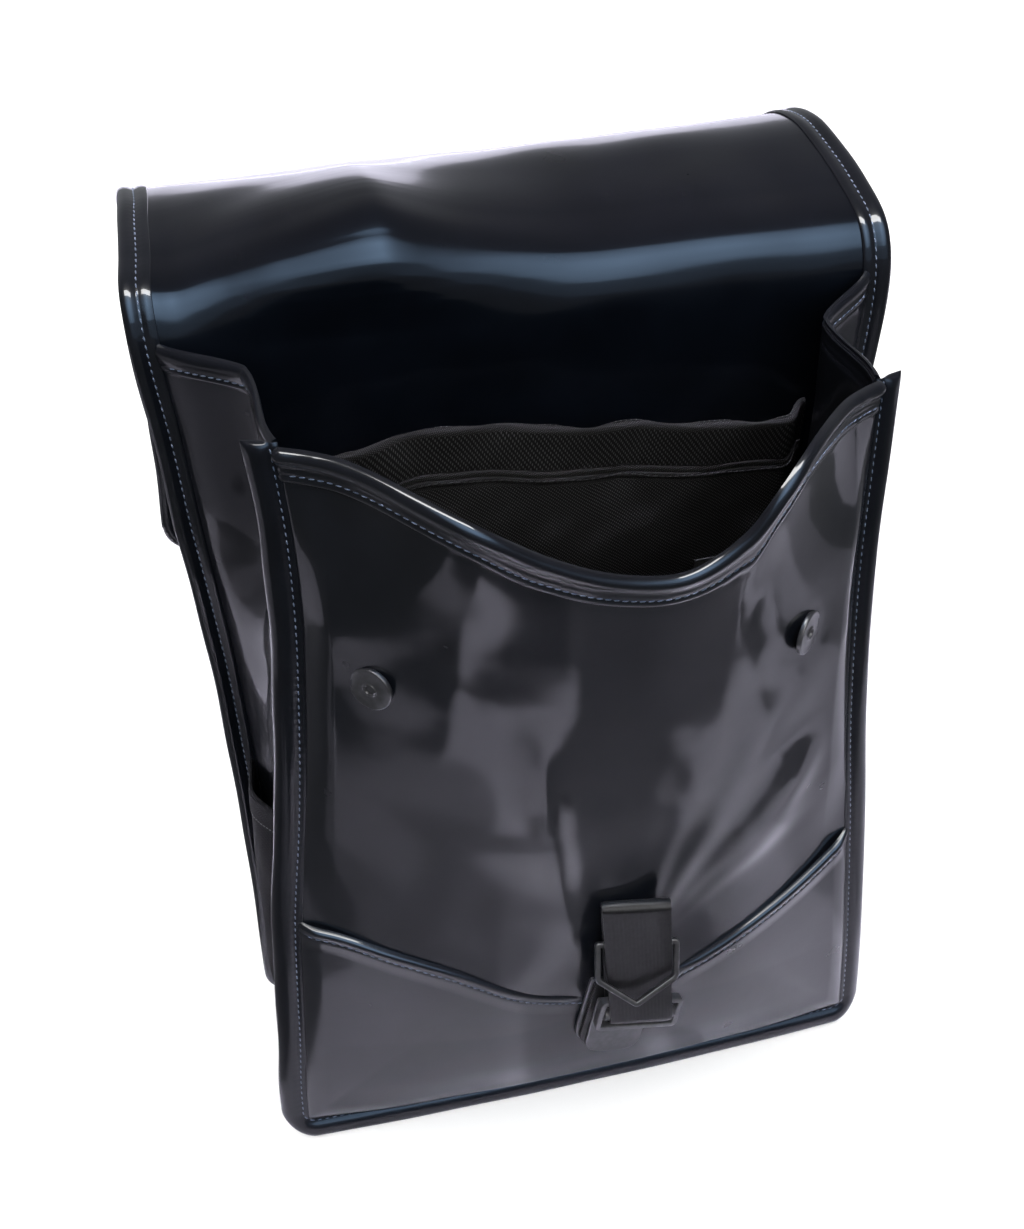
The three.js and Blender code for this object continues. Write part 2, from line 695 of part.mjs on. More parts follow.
/** The tape's cross section at a share of its height, where it leaves its middle line at an angle. */
function tapeRing(share, degrees) {
  const { middle, across, up, forward } = tapeFrame(share);
  const radius = lerp(BAR_RADIUS + GAP + TAPE.wall / 2, TAPE.topRadius, share);
  const angle = degToRad(degrees);
  const way = forward.multiplyScalar(Math.cos(angle)).addScaledVector(up, Math.sin(angle));
  const corner = (side, depth) =>
    middle
      .clone()
      .addScaledVector(way, radius + depth * TAPE.wall * 0.5)
      .addScaledVector(across, side * TAPE.width * 0.5);
  return [corner(-1, -1), corner(1, -1), corner(1, 1), corner(-1, 1)];
}

const tapeRings = [];
for (let i = 0; i < TAPE_STEPS; i += 1) tapeRings.push(tapeRing(i / TAPE_STEPS, 0));
for (let i = 0; i < TAPE_STEPS; i += 1) tapeRings.push(tapeRing(1, (180 * i) / TAPE_STEPS));
for (let i = 0; i < TAPE_STEPS; i += 1) tapeRings.push(tapeRing(1 - i / TAPE_STEPS, 180));
for (let i = 0; i < TAPE_STEPS; i += 1) tapeRings.push(tapeRing(0, 180 + (180 * i) / TAPE_STEPS));
addPiece("tape_loop", skin(tapeRings, true), TAPE_BLACK);

// The pointed ring hangs with its straight bar inside the tape and its point in front of the bar

const half = RING.width / 2;
const ringOutline = [
  [-half, 0],
  [-half, RING.point - RING.high],
  [-RING.tip, -RING.high],
  [RING.tip, -RING.high],
  [half, RING.point - RING.high],
  [half, 0],
];
const inner = half - RING.wire;
const ringHole = [
  [-inner, -RING.top],
  [inner, -RING.top],
  [inner, RING.point - RING.high],
  [0, 1.5 * RING.wire - RING.high],
  [-inner, RING.point - RING.high],
];
const ringFrame = tapeFrame(RING.at);
const vRing = addPiece("v_ring", plate(ringOutline, [ringHole], RING.deep), GUNMETAL);
vRing.geometry.translate(0, RING.deep / 2, RING.top / 2);
const ringBasis = new THREE.Matrix4().makeBasis(
  ringFrame.across,
  ringFrame.forward.clone().negate(),
  ringFrame.up,
);
vRing.quaternion.setFromRotationMatrix(ringBasis);
vRing.rotateX(degToRad(-RING.lean));
vRing.position.copy(ringFrame.middle);

export default bag;
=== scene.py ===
"""Looks of a small glossy backpack that stands open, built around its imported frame.

Shapes are worked out in millimetres in the part's own frame, and become metres in the meshes:
+X is to the right seen from the front, +Y runs into the bag, +Z is up.
"""

import logging
import math
from dataclasses import dataclass, replace
from enum import Enum
from typing import Callable, ClassVar, Iterable, Sequence

import bpy
import numpy as np
from mathutils import Matrix, Vector


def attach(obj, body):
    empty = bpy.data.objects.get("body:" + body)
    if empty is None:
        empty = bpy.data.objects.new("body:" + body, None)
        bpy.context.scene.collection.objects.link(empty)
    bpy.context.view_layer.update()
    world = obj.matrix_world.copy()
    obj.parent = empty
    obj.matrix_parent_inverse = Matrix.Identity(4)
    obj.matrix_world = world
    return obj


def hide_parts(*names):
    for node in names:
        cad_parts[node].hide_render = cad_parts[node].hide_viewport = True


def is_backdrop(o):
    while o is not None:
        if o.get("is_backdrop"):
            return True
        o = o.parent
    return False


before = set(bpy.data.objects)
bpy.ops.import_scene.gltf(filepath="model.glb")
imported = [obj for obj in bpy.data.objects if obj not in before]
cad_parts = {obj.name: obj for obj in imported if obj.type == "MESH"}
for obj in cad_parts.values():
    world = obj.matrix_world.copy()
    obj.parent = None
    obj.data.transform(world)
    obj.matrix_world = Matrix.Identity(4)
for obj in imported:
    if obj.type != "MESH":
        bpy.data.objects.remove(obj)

LOG = logging.getLogger("backpack")
MM = 0.001
BODY = "root"
Array = np.ndarray
Piece = bpy.types.Object
Material = bpy.types.Material
Node = bpy.types.Node
Pair = tuple[float, float]
Three = tuple[float, float, float]
Four = tuple[float, float, float, float]


class Slot(Enum):
    """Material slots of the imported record."""

    COATED = "coated_cloth"
    BINDING = "binding"
    NYLON = "nylon"
    LABEL = "label"
    METAL = "gunmetal"
    TAPE = "tape"


class Side(Enum):
    """The two sides of the bag, with the sign of their X."""

    LEFT = -1
    RIGHT = 1

    @property
    def word(self) -> str:
        """The side's name in lower case."""
        return self.name.lower()


# Small sums


def smoothstep(value: Array, low: float, high: float) -> Array:
    """Eased share of the way of a value from low to high."""
    share = np.clip((value - low) / (high - low), 0.0, 1.0)
    return share * share * (3.0 - 2.0 * share)


def lerp(start: Array, end: Array, share: Array) -> Array:
    """Value at a share of the way from start to end."""
    return start + (end - start) * share


def bell(value: Array, width: float) -> Array:
    """Bell curve of height one and a given width."""
    return np.exp(-((value / width) ** 2))


def rounded_rise(inside: Array, height: float, reach: float, fade: float) -> Array:
    """Swelling that starts steeply at an edge, rounds over and sinks slowly.

    Args:
        inside: Distance from the edge.
        height: Most that it swells.
        reach: Distance at which it swells most.
        fade: Distance over which it sinks again.

    Returns:
        The height at each distance.
    """
    near = np.clip(inside / reach, 0.0, 1.0)
    rise = np.sqrt(np.maximum(0.0, 1 - (1 - near) ** 2))
    return height * rise * np.exp(-np.maximum(inside - reach, 0.0) / fade)


def unit(vectors: Array) -> Array:
    """Vectors of length one, along the last axis."""
    return vectors / np.maximum(np.linalg.norm(vectors, axis=-1, keepdims=True), 1e-12)


class Table:
    """Rows of named columns, read with eased steps between the rows."""

    def __init__(self, columns: str, *rows: Sequence[float]) -> None:
        """Keeps the rows.

        Args:
            columns: Names of the columns, parted by spaces. The first one is the key.
            rows: The rows, in the order of their key.
        """
        self.columns = columns.split()
        self.rows = np.array(rows, float)

    def column(self, name: str) -> Array:
        """One column as an array."""
        return self.rows[:, self.columns.index(name)]

    def read(self, at: Array, name: str) -> Array:
        """Column's value at each key value.

        Args:
            at: Key values.
            name: The column.

        Returns:
            The eased values, in the shape of at.
        """
        keys = self.rows[:, 0]
        values = self.column(name)
        slopes = np.empty_like(values)
        slopes[1:-1] = (values[2:] - values[:-2]) / (keys[2:] - keys[:-2])
        slopes[0] = (values[1] - values[0]) / (keys[1] - keys[0])
        slopes[-1] = (values[-1] - values[-2]) / (keys[-1] - keys[-2])
        at = np.clip(at, keys[0], keys[-1])
        i = np.clip(np.searchsorted(keys, at, side="left") - 1, 0, len(keys) - 2)
        span = keys[i + 1] - keys[i]
        t = (at - keys[i]) / span
        hold = 2 * t**3 - 3 * t**2 + 1
        start = (t**3 - 2 * t**2 + t) * span * slopes[i]
        end = (t**3 - t**2) * span * slopes[i + 1]
        return hold * values[i] + start + (1 - hold) * values[i + 1] + end


@dataclass(frozen=True)
class Ripples:
    """Gentle uneven waves of a cloth surface, the same on every run."""

    wavelength: float
    height: float
    seed: int
    waves: int = 7
    stretch: Pair = (0.7, 1.5)

    def at(self, across: Array, up: Array) -> Array:
        """Height of the waves at each spot of a surface.

        Args:
            across: Distances across the surface.
            up: Distances up it.

        Returns:
            The heights.
        """
        rng = np.random.default_rng(self.seed)
        total = np.zeros(np.broadcast(across, up).shape)
        low, high = self.stretch
        for _ in range(self.waves):
            angle, phase, stretch = rng.uniform((0, 0, low), (math.pi, math.tau, high))
            pace = math.tau / (self.wavelength * stretch)
            total += np.sin(pace * (across * math.cos(angle) + up * math.sin(angle)) + phase)
        return total * self.height / math.sqrt(self.waves)


def travelled(points: Array) -> Array:
    """Distance of each point along a line of points."""
    steps = np.linalg.norm(np.diff(points, axis=0), axis=1)
    return np.concatenate([[0.0], np.cumsum(steps)])


def read_along(at: Array, along: Array, values: Array) -> Array:
    """Points or directions at distances along a line, by straight steps."""
    return np.column_stack([np.interp(at, along, column) for column in values.T])


# Meshes


def deselect() -> None:
    """Leaves nothing selected."""
    bpy.ops.object.select_all(action="DESELECT")


def select_only(piece: Piece) -> None:
    """Makes a piece the only selected object, and the active one.

    Args:
        piece: The piece.
    """
    deselect()
    piece.select_set(True)
    bpy.context.view_layer.objects.active = piece


def apply_modifiers(piece: Piece) -> None:
    """Applies all of a piece's modifiers, in order.

    Args:
        piece: The piece.
    """
    select_only(piece)
    for modifier in list(piece.modifiers):
        bpy.ops.object.modifier_apply(modifier=modifier.name)


def shade(piece: Piece, degrees: float = 40.0) -> None:
    """Smooths the shading of a piece, apart from edges sharper than an angle."""
    select_only(piece)
    bpy.ops.object.shade_smooth_by_angle(angle=math.radians(degrees))


def in_edit_mode(piece: Piece, *steps: Callable[[], object]) -> None:
    """Runs operators on all of a piece's mesh in edit mode.

    Args:
        piece: The piece.
        steps: The operators, in order.
    """
    select_only(piece)
    bpy.ops.object.mode_set(mode="EDIT")
    bpy.ops.mesh.select_all(action="SELECT")
    for step in steps:
        step()
    bpy.ops.object.mode_set(mode="OBJECT")


def merge_doubles() -> None:
    """Merges the selected points that lie in one place."""
    bpy.ops.mesh.remove_doubles(threshold=1e-6)


def face_outwards() -> None:
    """Turns the selected faces outwards."""
    bpy.ops.mesh.normals_make_consistent(inside=False)


def close_ends() -> None:
    """Fills the open ends of a tube."""
    bpy.ops.mesh.fill_holes(sides=0)
    bpy.ops.mesh.select_all(action="SELECT")


def named(name: str) -> Piece:
    """Names the primitive that was just added, and its mesh.

    Args:
        name: The name.

    Returns:
        The new object.
    """
    piece = bpy.context.active_object
    piece.name = name
    piece.data.name = name
    return piece


class Patch:
    """A grid of points of one cloth surface, in millimetres, rows first."""

    def __init__(self, points: Array) -> None:
        """Keeps the points, of shape (rows, columns, 3)."""
        self.points = points

    def normals(self) -> Array:
        """Normals of the surface, facing the side that sees columns run right and rows run up.

        Returns:
            Directions of shape (rows, columns, 3).
        """
        across = np.gradient(self.points, axis=1)
        up = np.gradient(self.points, axis=0)
        return unit(np.cross(across, up))

    def lifted(self, height: Array) -> "Patch":
        """The surface moved out along its normals by heights of shape (rows, columns)."""
        return Patch(self.points + self.normals() * np.asarray(height)[..., None])

    def flat_size(self) -> Pair:
        """Measures the surface along itself.

        Returns:
            Mean width and length, in metres.
        """
        across = np.linalg.norm(np.diff(self.points, axis=1), axis=2).sum(axis=1).mean()
        up = np.linalg.norm(np.diff(self.points, axis=0), axis=2).sum(axis=0).mean()
        return float(across * MM), float(up * MM)

    def grid(self, name: str) -> Piece:
        """A grid primitive whose points are placed on the surface, with a UV map in metres.

        Args:
            name: Name of the new object.

        Returns:
            The open sheet.
        """
        rows, columns = self.points.shape[:2]
        deselect()
        bpy.ops.mesh.primitive_grid_add(x_subdivisions=columns - 1, y_subdivisions=rows - 1)
        piece = named(name)
        piece.data.vertices.foreach_set("co", (self.points * MM).reshape(-1))
        spots = np.empty(len(piece.data.loops) * 2)
        layer = piece.data.uv_layers[0].data
        layer.foreach_get("uv", spots)
        spots = spots.reshape(-1, 2) * np.array(self.flat_size())
        layer.foreach_set("uv", spots.reshape(-1))
        piece.data.update()
        return piece

    def wall(self, name: str, thickness: Array) -> Piece:
        """A closed wall whose outer side is the surface.

        Args:
            name: Name of the new object.
            thickness: Wall in millimetres, one value or one for each point.

        Returns:
            The closed sheet.
        """
        piece = self.grid(name)
        thickness = np.broadcast_to(thickness, self.points.shape[:2]).reshape(-1)
        group = piece.vertex_groups.new(name="wall")
        most = float(thickness.max())
        for i, share in enumerate(thickness / most):
            group.add((i,), float(share), "REPLACE")
        solid = piece.modifiers.new("wall", "SOLIDIFY")
        solid.thickness = most * MM
        solid.offset = -1.0
        solid.vertex_group = group.name
        solid.use_even_offset = False
        apply_modifiers(piece)
        piece.vertex_groups.clear()
        shade(piece)
        return piece


def tube(name: str, rings: Array, closed: bool) -> Piece:
    """A closed mesh through rings of points.

    Args:
        name: Name of the new object.
        rings: Points of shape (rings, points of a ring, 3), in millimetres.
        closed: Whether the last ring runs on into the first one.

    Returns:
        The tube, with its ends filled where it isn't closed.
    """
    rings = np.concatenate([rings, rings[:, :1]], axis=1)
    if closed:
        rings = np.concatenate([rings, rings[:1]], axis=0)
    piece = Patch(rings).grid(name)
    steps = [merge_doubles, face_outwards]
    if not closed:
        steps.insert(1, close_ends)
    in_edit_mode(piece, *steps)
    shade(piece)
    return piece


def mesh_piece(name: str, points: Array, faces: Iterable[Sequence[int]]) -> Piece:
    """A new object from points and faces.

    Args:
        name: Name of the new object.
        points: Points of shape (count, 3), in millimetres.
        faces: Numbers of each face's points.

    Returns:
        The object.
    """
    data = bpy.data.meshes.new(name)
    data.from_pydata((points * MM).tolist(), [], list(faces))
    piece = bpy.data.objects.new(name, data)
    bpy.context.scene.collection.objects.link(piece)
    return piece


def dress(
    piece: Piece,
    material: Material,
    slot: Slot,
    *nodes: str,
) -> Piece:
    """Gives a piece its finish and its place in the frame.

    Args:
        piece: The finished mesh.
        material: Its finish.
        slot: The record's slot that the finish belongs to; not used.
        nodes: The nodes of the frame that it stands for.

    Returns:
        The piece.
    """
    piece.data.materials.clear()
    piece.data.materials.append(material)
    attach(piece, BODY)
    if nodes:
        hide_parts(*nodes)
    LOG.info("%s: %d faces", piece.name, len(piece.data.polygons))
    return piece


# Finishes

WAVE_BANDS = math.tau / 20.0


@dataclass(frozen=True)
class Texture:
    """A noise texture of a finish, and how far it stands out, in metres."""

    per_metre: float
    detail: float
    height: float = 0.0
    strength: float = 0.0
    coords: str = "Object"


class NodeBoard:
    """The nodes of one new material."""

    ramp_ends = (0.3, 0.7)

    def __init__(self, name: str) -> None:
        """Makes the material, with its surface shader as it comes.

        Args:
            name: Name of the material.
        """
        self.material = bpy.data.materials.new(name)
        self.material.use_nodes = True
        self.tree = self.material.node_tree
        self.surface = self.tree.nodes["Principled BSDF"]

    def add(self, kind: str, **values: object) -> Node:
        """Adds a node.

        Args:
            kind: Type of the node.
            values: Its attributes and sockets by name, with underscores for spaces.

        Returns:
            The node.
        """
        node = self.tree.nodes.new(kind)
        for name, value in values.items():
            socket = name.replace("_", " ")
            if socket in node.inputs:
                node.inputs[socket].default_value = value
            else:
                setattr(node, name, value)
        return node

    def link(self, node: Node, output: str, to: Node, socket: str) -> None:
        """Joins an output to a socket."""
        self.tree.links.new(node.outputs[output], to.inputs[socket])

    def set_surface(self, **values: object) -> None:
        """Sets sockets of the surface shader."""
        for name, value in values.items():
            self.surface.inputs[name.replace("_", " ")].default_value = value

    def noise(self, texture: Texture) -> Node:
        """Adds a noise texture on the object's own place or on its UV map.

        Args:
            texture: Which texture.

        Returns:
            Its node.
        """
        place = self.add("ShaderNodeTexCoord")
        node = self.add("ShaderNodeTexNoise", Scale=texture.per_metre, Detail=texture.detail)
        self.link(place, texture.coords, node, "Vector")
        return node

    def bands(self, pitch: float, degrees: float, **values: float) -> Node:
        """Adds even bands on the UV map.

        Args:
            pitch: Distance between the bands, in metres.
            degrees: How far they are turned.
            values: Further sockets of the texture.

        Returns:
            Their node.
        """
        place = self.add("ShaderNodeTexCoord")
        turn = self.add("ShaderNodeMapping", Rotation=(0.0, 0.0, math.radians(degrees)))
        self.link(place, "UV", turn, "Vector")
        node = self.add("ShaderNodeTexWave", Scale=WAVE_BANDS / pitch, **values)
        self.link(turn, "Vector", node, "Vector")
        return node

    def colour(self, source: Node, output: str, dark: Three, light: Three) -> None:
        """Gives the surface two colours, mixed by a texture.

        Args:
            source: The texture.
            output: Its output.
            dark: Colour where the texture is low.
            light: Colour where it is high.
        """
        node = self.add("ShaderNodeValToRGB")
        for element, place, colour in zip(node.color_ramp.elements, self.ramp_ends, (dark, light)):
            element.position = place
            element.color = (*colour, 1.0)
        self.link(source, output, node, "Fac")
        self.link(node, "Color", self.surface, "Base Color")

    def gloss(self, source: Node, roughness: Pair) -> None:
        """Varies the surface's roughness by a texture.

        Args:
            source: The texture.
            roughness: Lowest and highest roughness.
        """
        node = self.add("ShaderNodeMapRange", To_Min=roughness[0], To_Max=roughness[1])
        self.link(source, "Fac", node, "Value")
        self.link(node, "Result", self.surface, "Roughness")

    def bump(
        self, source: Node, output: str, height: float, strength: float, under: Node | None = None,
    ) -> Node:
        """Adds a bump and lays it on the surface.

        Args:
            source: The texture that it follows.
            output: The texture's output.
            height: Its height in metres.
            strength: Its strength.
            under: A bump that lies under it.

        Returns:
            Its node.
        """
        node = self.add("ShaderNodeBump", Strength=strength, Distance=height)
        self.link(source, output, node, "Height")
        if under is not None:
            self.link(under, "Normal", node, "Normal")
        self.link(node, "Normal", self.surface, "Normal")
        return node

    def raised(self, texture: Texture, under: Node | None = None) -> Node:
        """Adds a noise texture that stands out as a bump."""
        return self.bump(self.noise(texture), "Fac", texture.height, texture.strength, under)


@dataclass(frozen=True)
class CoatedCloth:
    """Near-black navy cloth under a clear glossy coat."""

    name: str = "coated_navy"
    deep: Three = (0.0042, 0.0043, 0.0052)
    pale: Three = (0.006, 0.0062, 0.0076)
    roughness: Pair = (0.24, 0.36)
    coat_roughness: float = 0.06
    coat_weight: float = 1.0
    coat_ior: float = 1.5
    under_gloss: float = 0.2
    mottle: Texture = Texture(45.0, 4.0)
    peel: Texture = Texture(75.0, 1.0, 0.0012, 0.06)
    grain: Texture = Texture(900.0, 2.0, 0.00003, 0.35)

    def material(self) -> Material:
        """Makes the finish.

        Returns:
            Its material.
        """
        board = NodeBoard(self.name)
        mottle = board.noise(self.mottle)
        board.colour(mottle, "Fac", self.deep, self.pale)
        board.gloss(mottle, self.roughness)
        board.set_surface(
            Coat_Weight=self.coat_weight, Coat_Roughness=self.coat_roughness,
            Coat_IOR=self.coat_ior, Specular_IOR_Level=self.under_gloss,
        )
        soft = board.raised(self.peel)
        board.link(soft, "Normal", board.surface, "Coat Normal")
        board.raised(self.grain, soft)
        return board.material


@dataclass(frozen=True)
class WovenNylon:
    """Black nylon with a diagonal weave on its own UV map."""

    name: str = "black_nylon"
    dark: Three = (0.014, 0.014, 0.0142)
    light: Three = (0.1, 0.1, 0.101)
    warp_pitch: float = 0.0010
    weft_pitch: float = 0.0013
    lean: float = 32.0
    uneven: float = 0.6
    uneven_scale: float = 2.0
    height: float = 0.0002
    strength: float = 0.7
    roughness: float = 0.7
    gloss: float = 0.2
    fuzz: Texture = Texture(2600.0, 2.0, 0.00006, 0.3)

    def material(self) -> Material:
        """Makes the finish.

        Returns:
            Its material.
        """
        board = NodeBoard(self.name)
        weave = board.add("ShaderNodeMath", operation="MULTIPLY")
        yarns = ((self.warp_pitch, self.lean), (self.weft_pitch, self.lean - 90.0))
        for socket, (pitch, turn) in zip(weave.inputs, yarns):
            bands = board.bands(pitch, turn, Distortion=self.uneven, Detail_Scale=self.uneven_scale)
            board.tree.links.new(bands.outputs["Fac"], socket)
        board.colour(weave, "Value", self.dark, self.light)
        board.set_surface(Roughness=self.roughness, Specular_IOR_Level=self.gloss)
        board.bump(weave, "Value", self.height, self.strength, board.raised(self.fuzz))
        return board.material


@dataclass(frozen=True)
class SatinMetal:
    """Dark metal with a satin coat."""

    name: str = "gunmetal"
    dark: Three = (0.17, 0.17, 0.173)
    light: Three = (0.235, 0.235, 0.239)
    roughness: Pair = (0.24, 0.38)
    metallic: float = 0.9
    mottle: Texture = Texture(300.0, 5.0)
    speck: Texture = Texture(4000.0, 3.0, 0.00003, 0.25)

    def material(self) -> Material:
        """Makes the finish.

        Returns:
            Its material.
        """
        board = NodeBoard(self.name)
        mottle = board.noise(self.mottle)
        board.colour(mottle, "Fac", self.dark, self.light)
        board.gloss(mottle, self.roughness)
        board.set_surface(Metallic=self.metallic)
        board.raised(self.speck)
        return board.material


@dataclass(frozen=True)
class SmoothTape:
    """Smooth black tape with faint ribs along its length."""

    name: str = "black_tape"
    dark: Three = (0.008, 0.008, 0.0082)
    light: Three = (0.017, 0.017, 0.0175)
    roughness: float = 0.3
    rib_pitch: float = 0.0016
    rib_height: float = 0.00008
    rib_strength: float = 0.25
    uneven: float = 0.3
    mottle: Texture = Texture(500.0, 4.0)

    def material(self) -> Material:
        """Makes the finish.

        Returns:
            Its material.
        """
        board = NodeBoard(self.name)
        board.colour(board.noise(self.mottle), "Fac", self.dark, self.light)
        board.set_surface(Roughness=self.roughness)
        ribs = board.bands(self.rib_pitch, 0.0, Distortion=self.uneven)
        board.bump(ribs, "Fac", self.rib_height, self.rib_strength)
        return board.material


@dataclass(frozen=True)
class SpunYarn:
    """Twisted sewing thread, or the fine yarn of a plain woven label."""

    name: str = "thread"
    dark: Three = (0.045, 0.055, 0.075)
    light: Three = (0.16, 0.19, 0.24)
    twist: Texture = Texture(1500.0, 3.0, 0.0001, 0.4)
    roughness: float = 0.55
    sheen: float = 0.3

    def material(self) -> Material:
        """Makes the finish.

        Returns:
            Its material.
        """
        board = NodeBoard(self.name)
        twist = board.noise(self.twist)
        board.colour(twist, "Fac", self.dark, self.light)
        board.set_surface(Roughness=self.roughness, Sheen_Weight=self.sheen)
        board.bump(twist, "Fac", self.twist.height, self.twist.strength)
        return board.material


class Finishes:
    """All the materials of the bag."""

    def __init__(self) -> None:
        """Makes each material once."""
        self.cloth = CoatedCloth().material()
        self.strip = CoatedCloth("bound_edge", coat_weight=0.5, under_gloss=0.12).material()
        self.back_cloth = CoatedCloth("coated_back", coat_roughness=0.13).material()
        self.side_cloth = CoatedCloth("coated_side", coat_weight=0.4, under_gloss=0.12).material()
        self.nylon = WovenNylon().material()
        # The side pockets' nylon is a darker copy of the same woven nylon: painted shade on the pockets.
        self.pocket_nylon = WovenNylon(
            "pocket_nylon", dark=(0.002, 0.002, 0.0021), light=(0.014, 0.014, 0.0142)
        ).material()
        self.metal = SatinMetal().material()
        self.tape = SmoothTape().material()
        self.thread = SpunYarn().material()
        self.dark_thread = SpunYarn(
            "dark_thread", dark=(0.006, 0.006, 0.007), light=(0.03, 0.03, 0.032)
        ).material()
        self.label = SpunYarn(
            "grey_label", dark=(0.035, 0.035, 0.037), light=(0.06, 0.06, 0.063),
            twist=Texture(1800.0, 3.0, 0.00008, 0.4, "UV"), roughness=0.8, sheen=0.0,
        ).material()
        self.blue_lit = (self.cloth, self.side_cloth, self.back_cloth, self.strip, self.thread)


# Shared shapes

WALL = 1.6
GAP = 0.3
BINDING = 11.0
CORNER = 4.0
SEAM_CLEARANCE = 2.2


def corner_inset(inside: Array) -> Array:
    """How far a rounded corner stands in, at a distance from the end of its edge."""
    turn = np.clip(1 - inside / CORNER, 0.0, 1.0)
    return CORNER * (1 - np.sqrt(1 - turn**2))


class FrontForm:
    """Shape of the bulging front, which its panels, binding, snaps and buckle share."""

    edges = Table(
        "z left right y_left y_right bulge",
        (0, -138.5, 141, -45, -45, 0),
        (14, -138.5, 141, -45, -45, 6),
        (35, -138, 140, -45, -45, 15),
        (60, -136.5, 138.5, -45, -45, 18),
        (130, -133, 132.5, -44, -45, 20),
        (190, -126.5, 126.5, -44, -45, 31),
        (260, -122, 123.2, -45, -44, 42),
        (310, -121.4, 123.8, -46, -43, 48),
        (360, -124.6, 125, -46, -42, 50),
    )
    rim = Table(
        "x z",
        (-113, 355.5), (-92, 354.5), (-74, 350), (-53, 340.5), (-30, 325), (-8, 314), (16, 308),
        (30, 310.5), (44, 320.5), (56, 336), (68, 345), (86, 347), (114, 346),
    )
    seam = Table(
        "x z",
        (-123, 131.5), (-97, 125), (-63, 107.5), (-20, 80.5), (18, 70.5), (44, 80.5), (78, 99.5),
        (123, 126),
    )
    top = {Side.LEFT: 357.0, Side.RIGHT: 347.0}
    flat_share = 0.4
    bottom_bow = 3.0
    bow_height = 60.0
    fullness = 0.85
    full_power = 2.3
    full_to = (280.0, 350.0)
    seam_swell = {Side.LEFT: 4.5, Side.RIGHT: 2.0}
    swell_above = 75.0
    swell_below = 80.0
    swell_sides = (0.65, 1.0)
    buckle_x = 16.0
    buckle_clear = (22.0, 60.0)

    def left(self, z: Array) -> Array:
        """X of the panel's left edge at a height."""
        return self.edges.read(z, "left") + BINDING

    def right(self, z: Array) -> Array:
        """X of the panel's right edge at a height."""
        return self.edges.read(z, "right") - BINDING

    def edge(self, side: Side, z: Array) -> Array:
        """X of one edge of the panel at a height."""
        return self.left(z) if side is Side.LEFT else self.right(z)

    def share(self, x: Array, z: Array) -> Array:
        """Share of the way across the panel."""
        return (x - self.left(z)) / (self.right(z) - self.left(z))

    def edge_y(self, x: Array, z: Array) -> Array:
        """Depth of the bound edge, carried straight across the bag.

        Args:
            x: Places across the bag.
            z: Heights.

        Returns:
            The depths.
        """
        share = np.clip(self.share(x, z), 0.0, 1.0)
        lower = np.maximum(0.0, 1.0 - z / self.bow_height)
        bow = self.bottom_bow * (1 - (2 * share - 1) ** 2) * lower
        return lerp(self.edges.read(z, "y_left"), self.edges.read(z, "y_right"), share) - bow

    def hill(self, off: Array) -> Array:
        """Share of the plain form's bulge, at shares of the way from its middle to its edge."""
        slope = np.clip((off - self.flat_share) / (1 - self.flat_share), 0.0, 1.0)
        return 0.5 * (1 + np.cos(np.pi * slope))

    def y(self, x: Array, z: Array) -> Array:
        """Depth of the bulging front."""
        off = np.abs(2 * self.share(x, z) - 1)
        return self.edge_y(x, z) - self.edges.read(z, "bulge") * self.hill(off)

    def point(self, x: Array, z: Array) -> Array:
        """Points of the front."""
        x, z = np.broadcast_arrays(x, z)
        return np.stack([x, self.y(x, z), z], axis=-1)

    def normal(self, x: float, z: float) -> Vector:
        """Outward direction of the front.

        Args:
            x: Place across the bag.
            z: Height.

        Returns:
            The direction, of length one.
        """
        across = (self.y(x + 1, z) - self.y(x - 1, z)) / 2
        up = (self.y(x, z + 1) - self.y(x, z - 1)) / 2
        return Vector((float(across), -1.0, float(up))).normalized()

    def fuller(self, x: Array, z: Array) -> Array:
        """How far the filled bag's front stands out of the plain form, which is flatter in its middle.

        Args:
            x: Places across the bag.
            z: Heights.

        Returns:
            The distances.
        """
        off = np.clip(np.abs(2 * self.share(x, z) - 1), 0.0, 1.0)
        rim = 1 - smoothstep(z, *self.full_to)
        fuller = 1 - off**self.full_power - self.hill(off)
        round_front = self.fullness * self.edges.read(z, "bulge") * fuller * rim
        above = z - self.seam.read(x, "z")
        near = 1 - smoothstep(above, 0.0, self.swell_above) - smoothstep(-above, 0.0, self.swell_below)
        beside = smoothstep(np.abs(x - self.buckle_x), *self.buckle_clear)
        beside = beside * (1 - smoothstep(off, *self.swell_sides))
        swell = np.where(x < self.buckle_x, self.seam_swell[Side.LEFT], self.seam_swell[Side.RIGHT])
        return round_front + swell * near * beside

    def slant(self, line: Table, x: Array) -> Array:
        """How much longer a drop straight down is than one square to a sloping line."""
        rise = (line.read(x + 1, "z") - line.read(x - 1, "z")) / 2
        return np.sqrt(1 + rise**2)


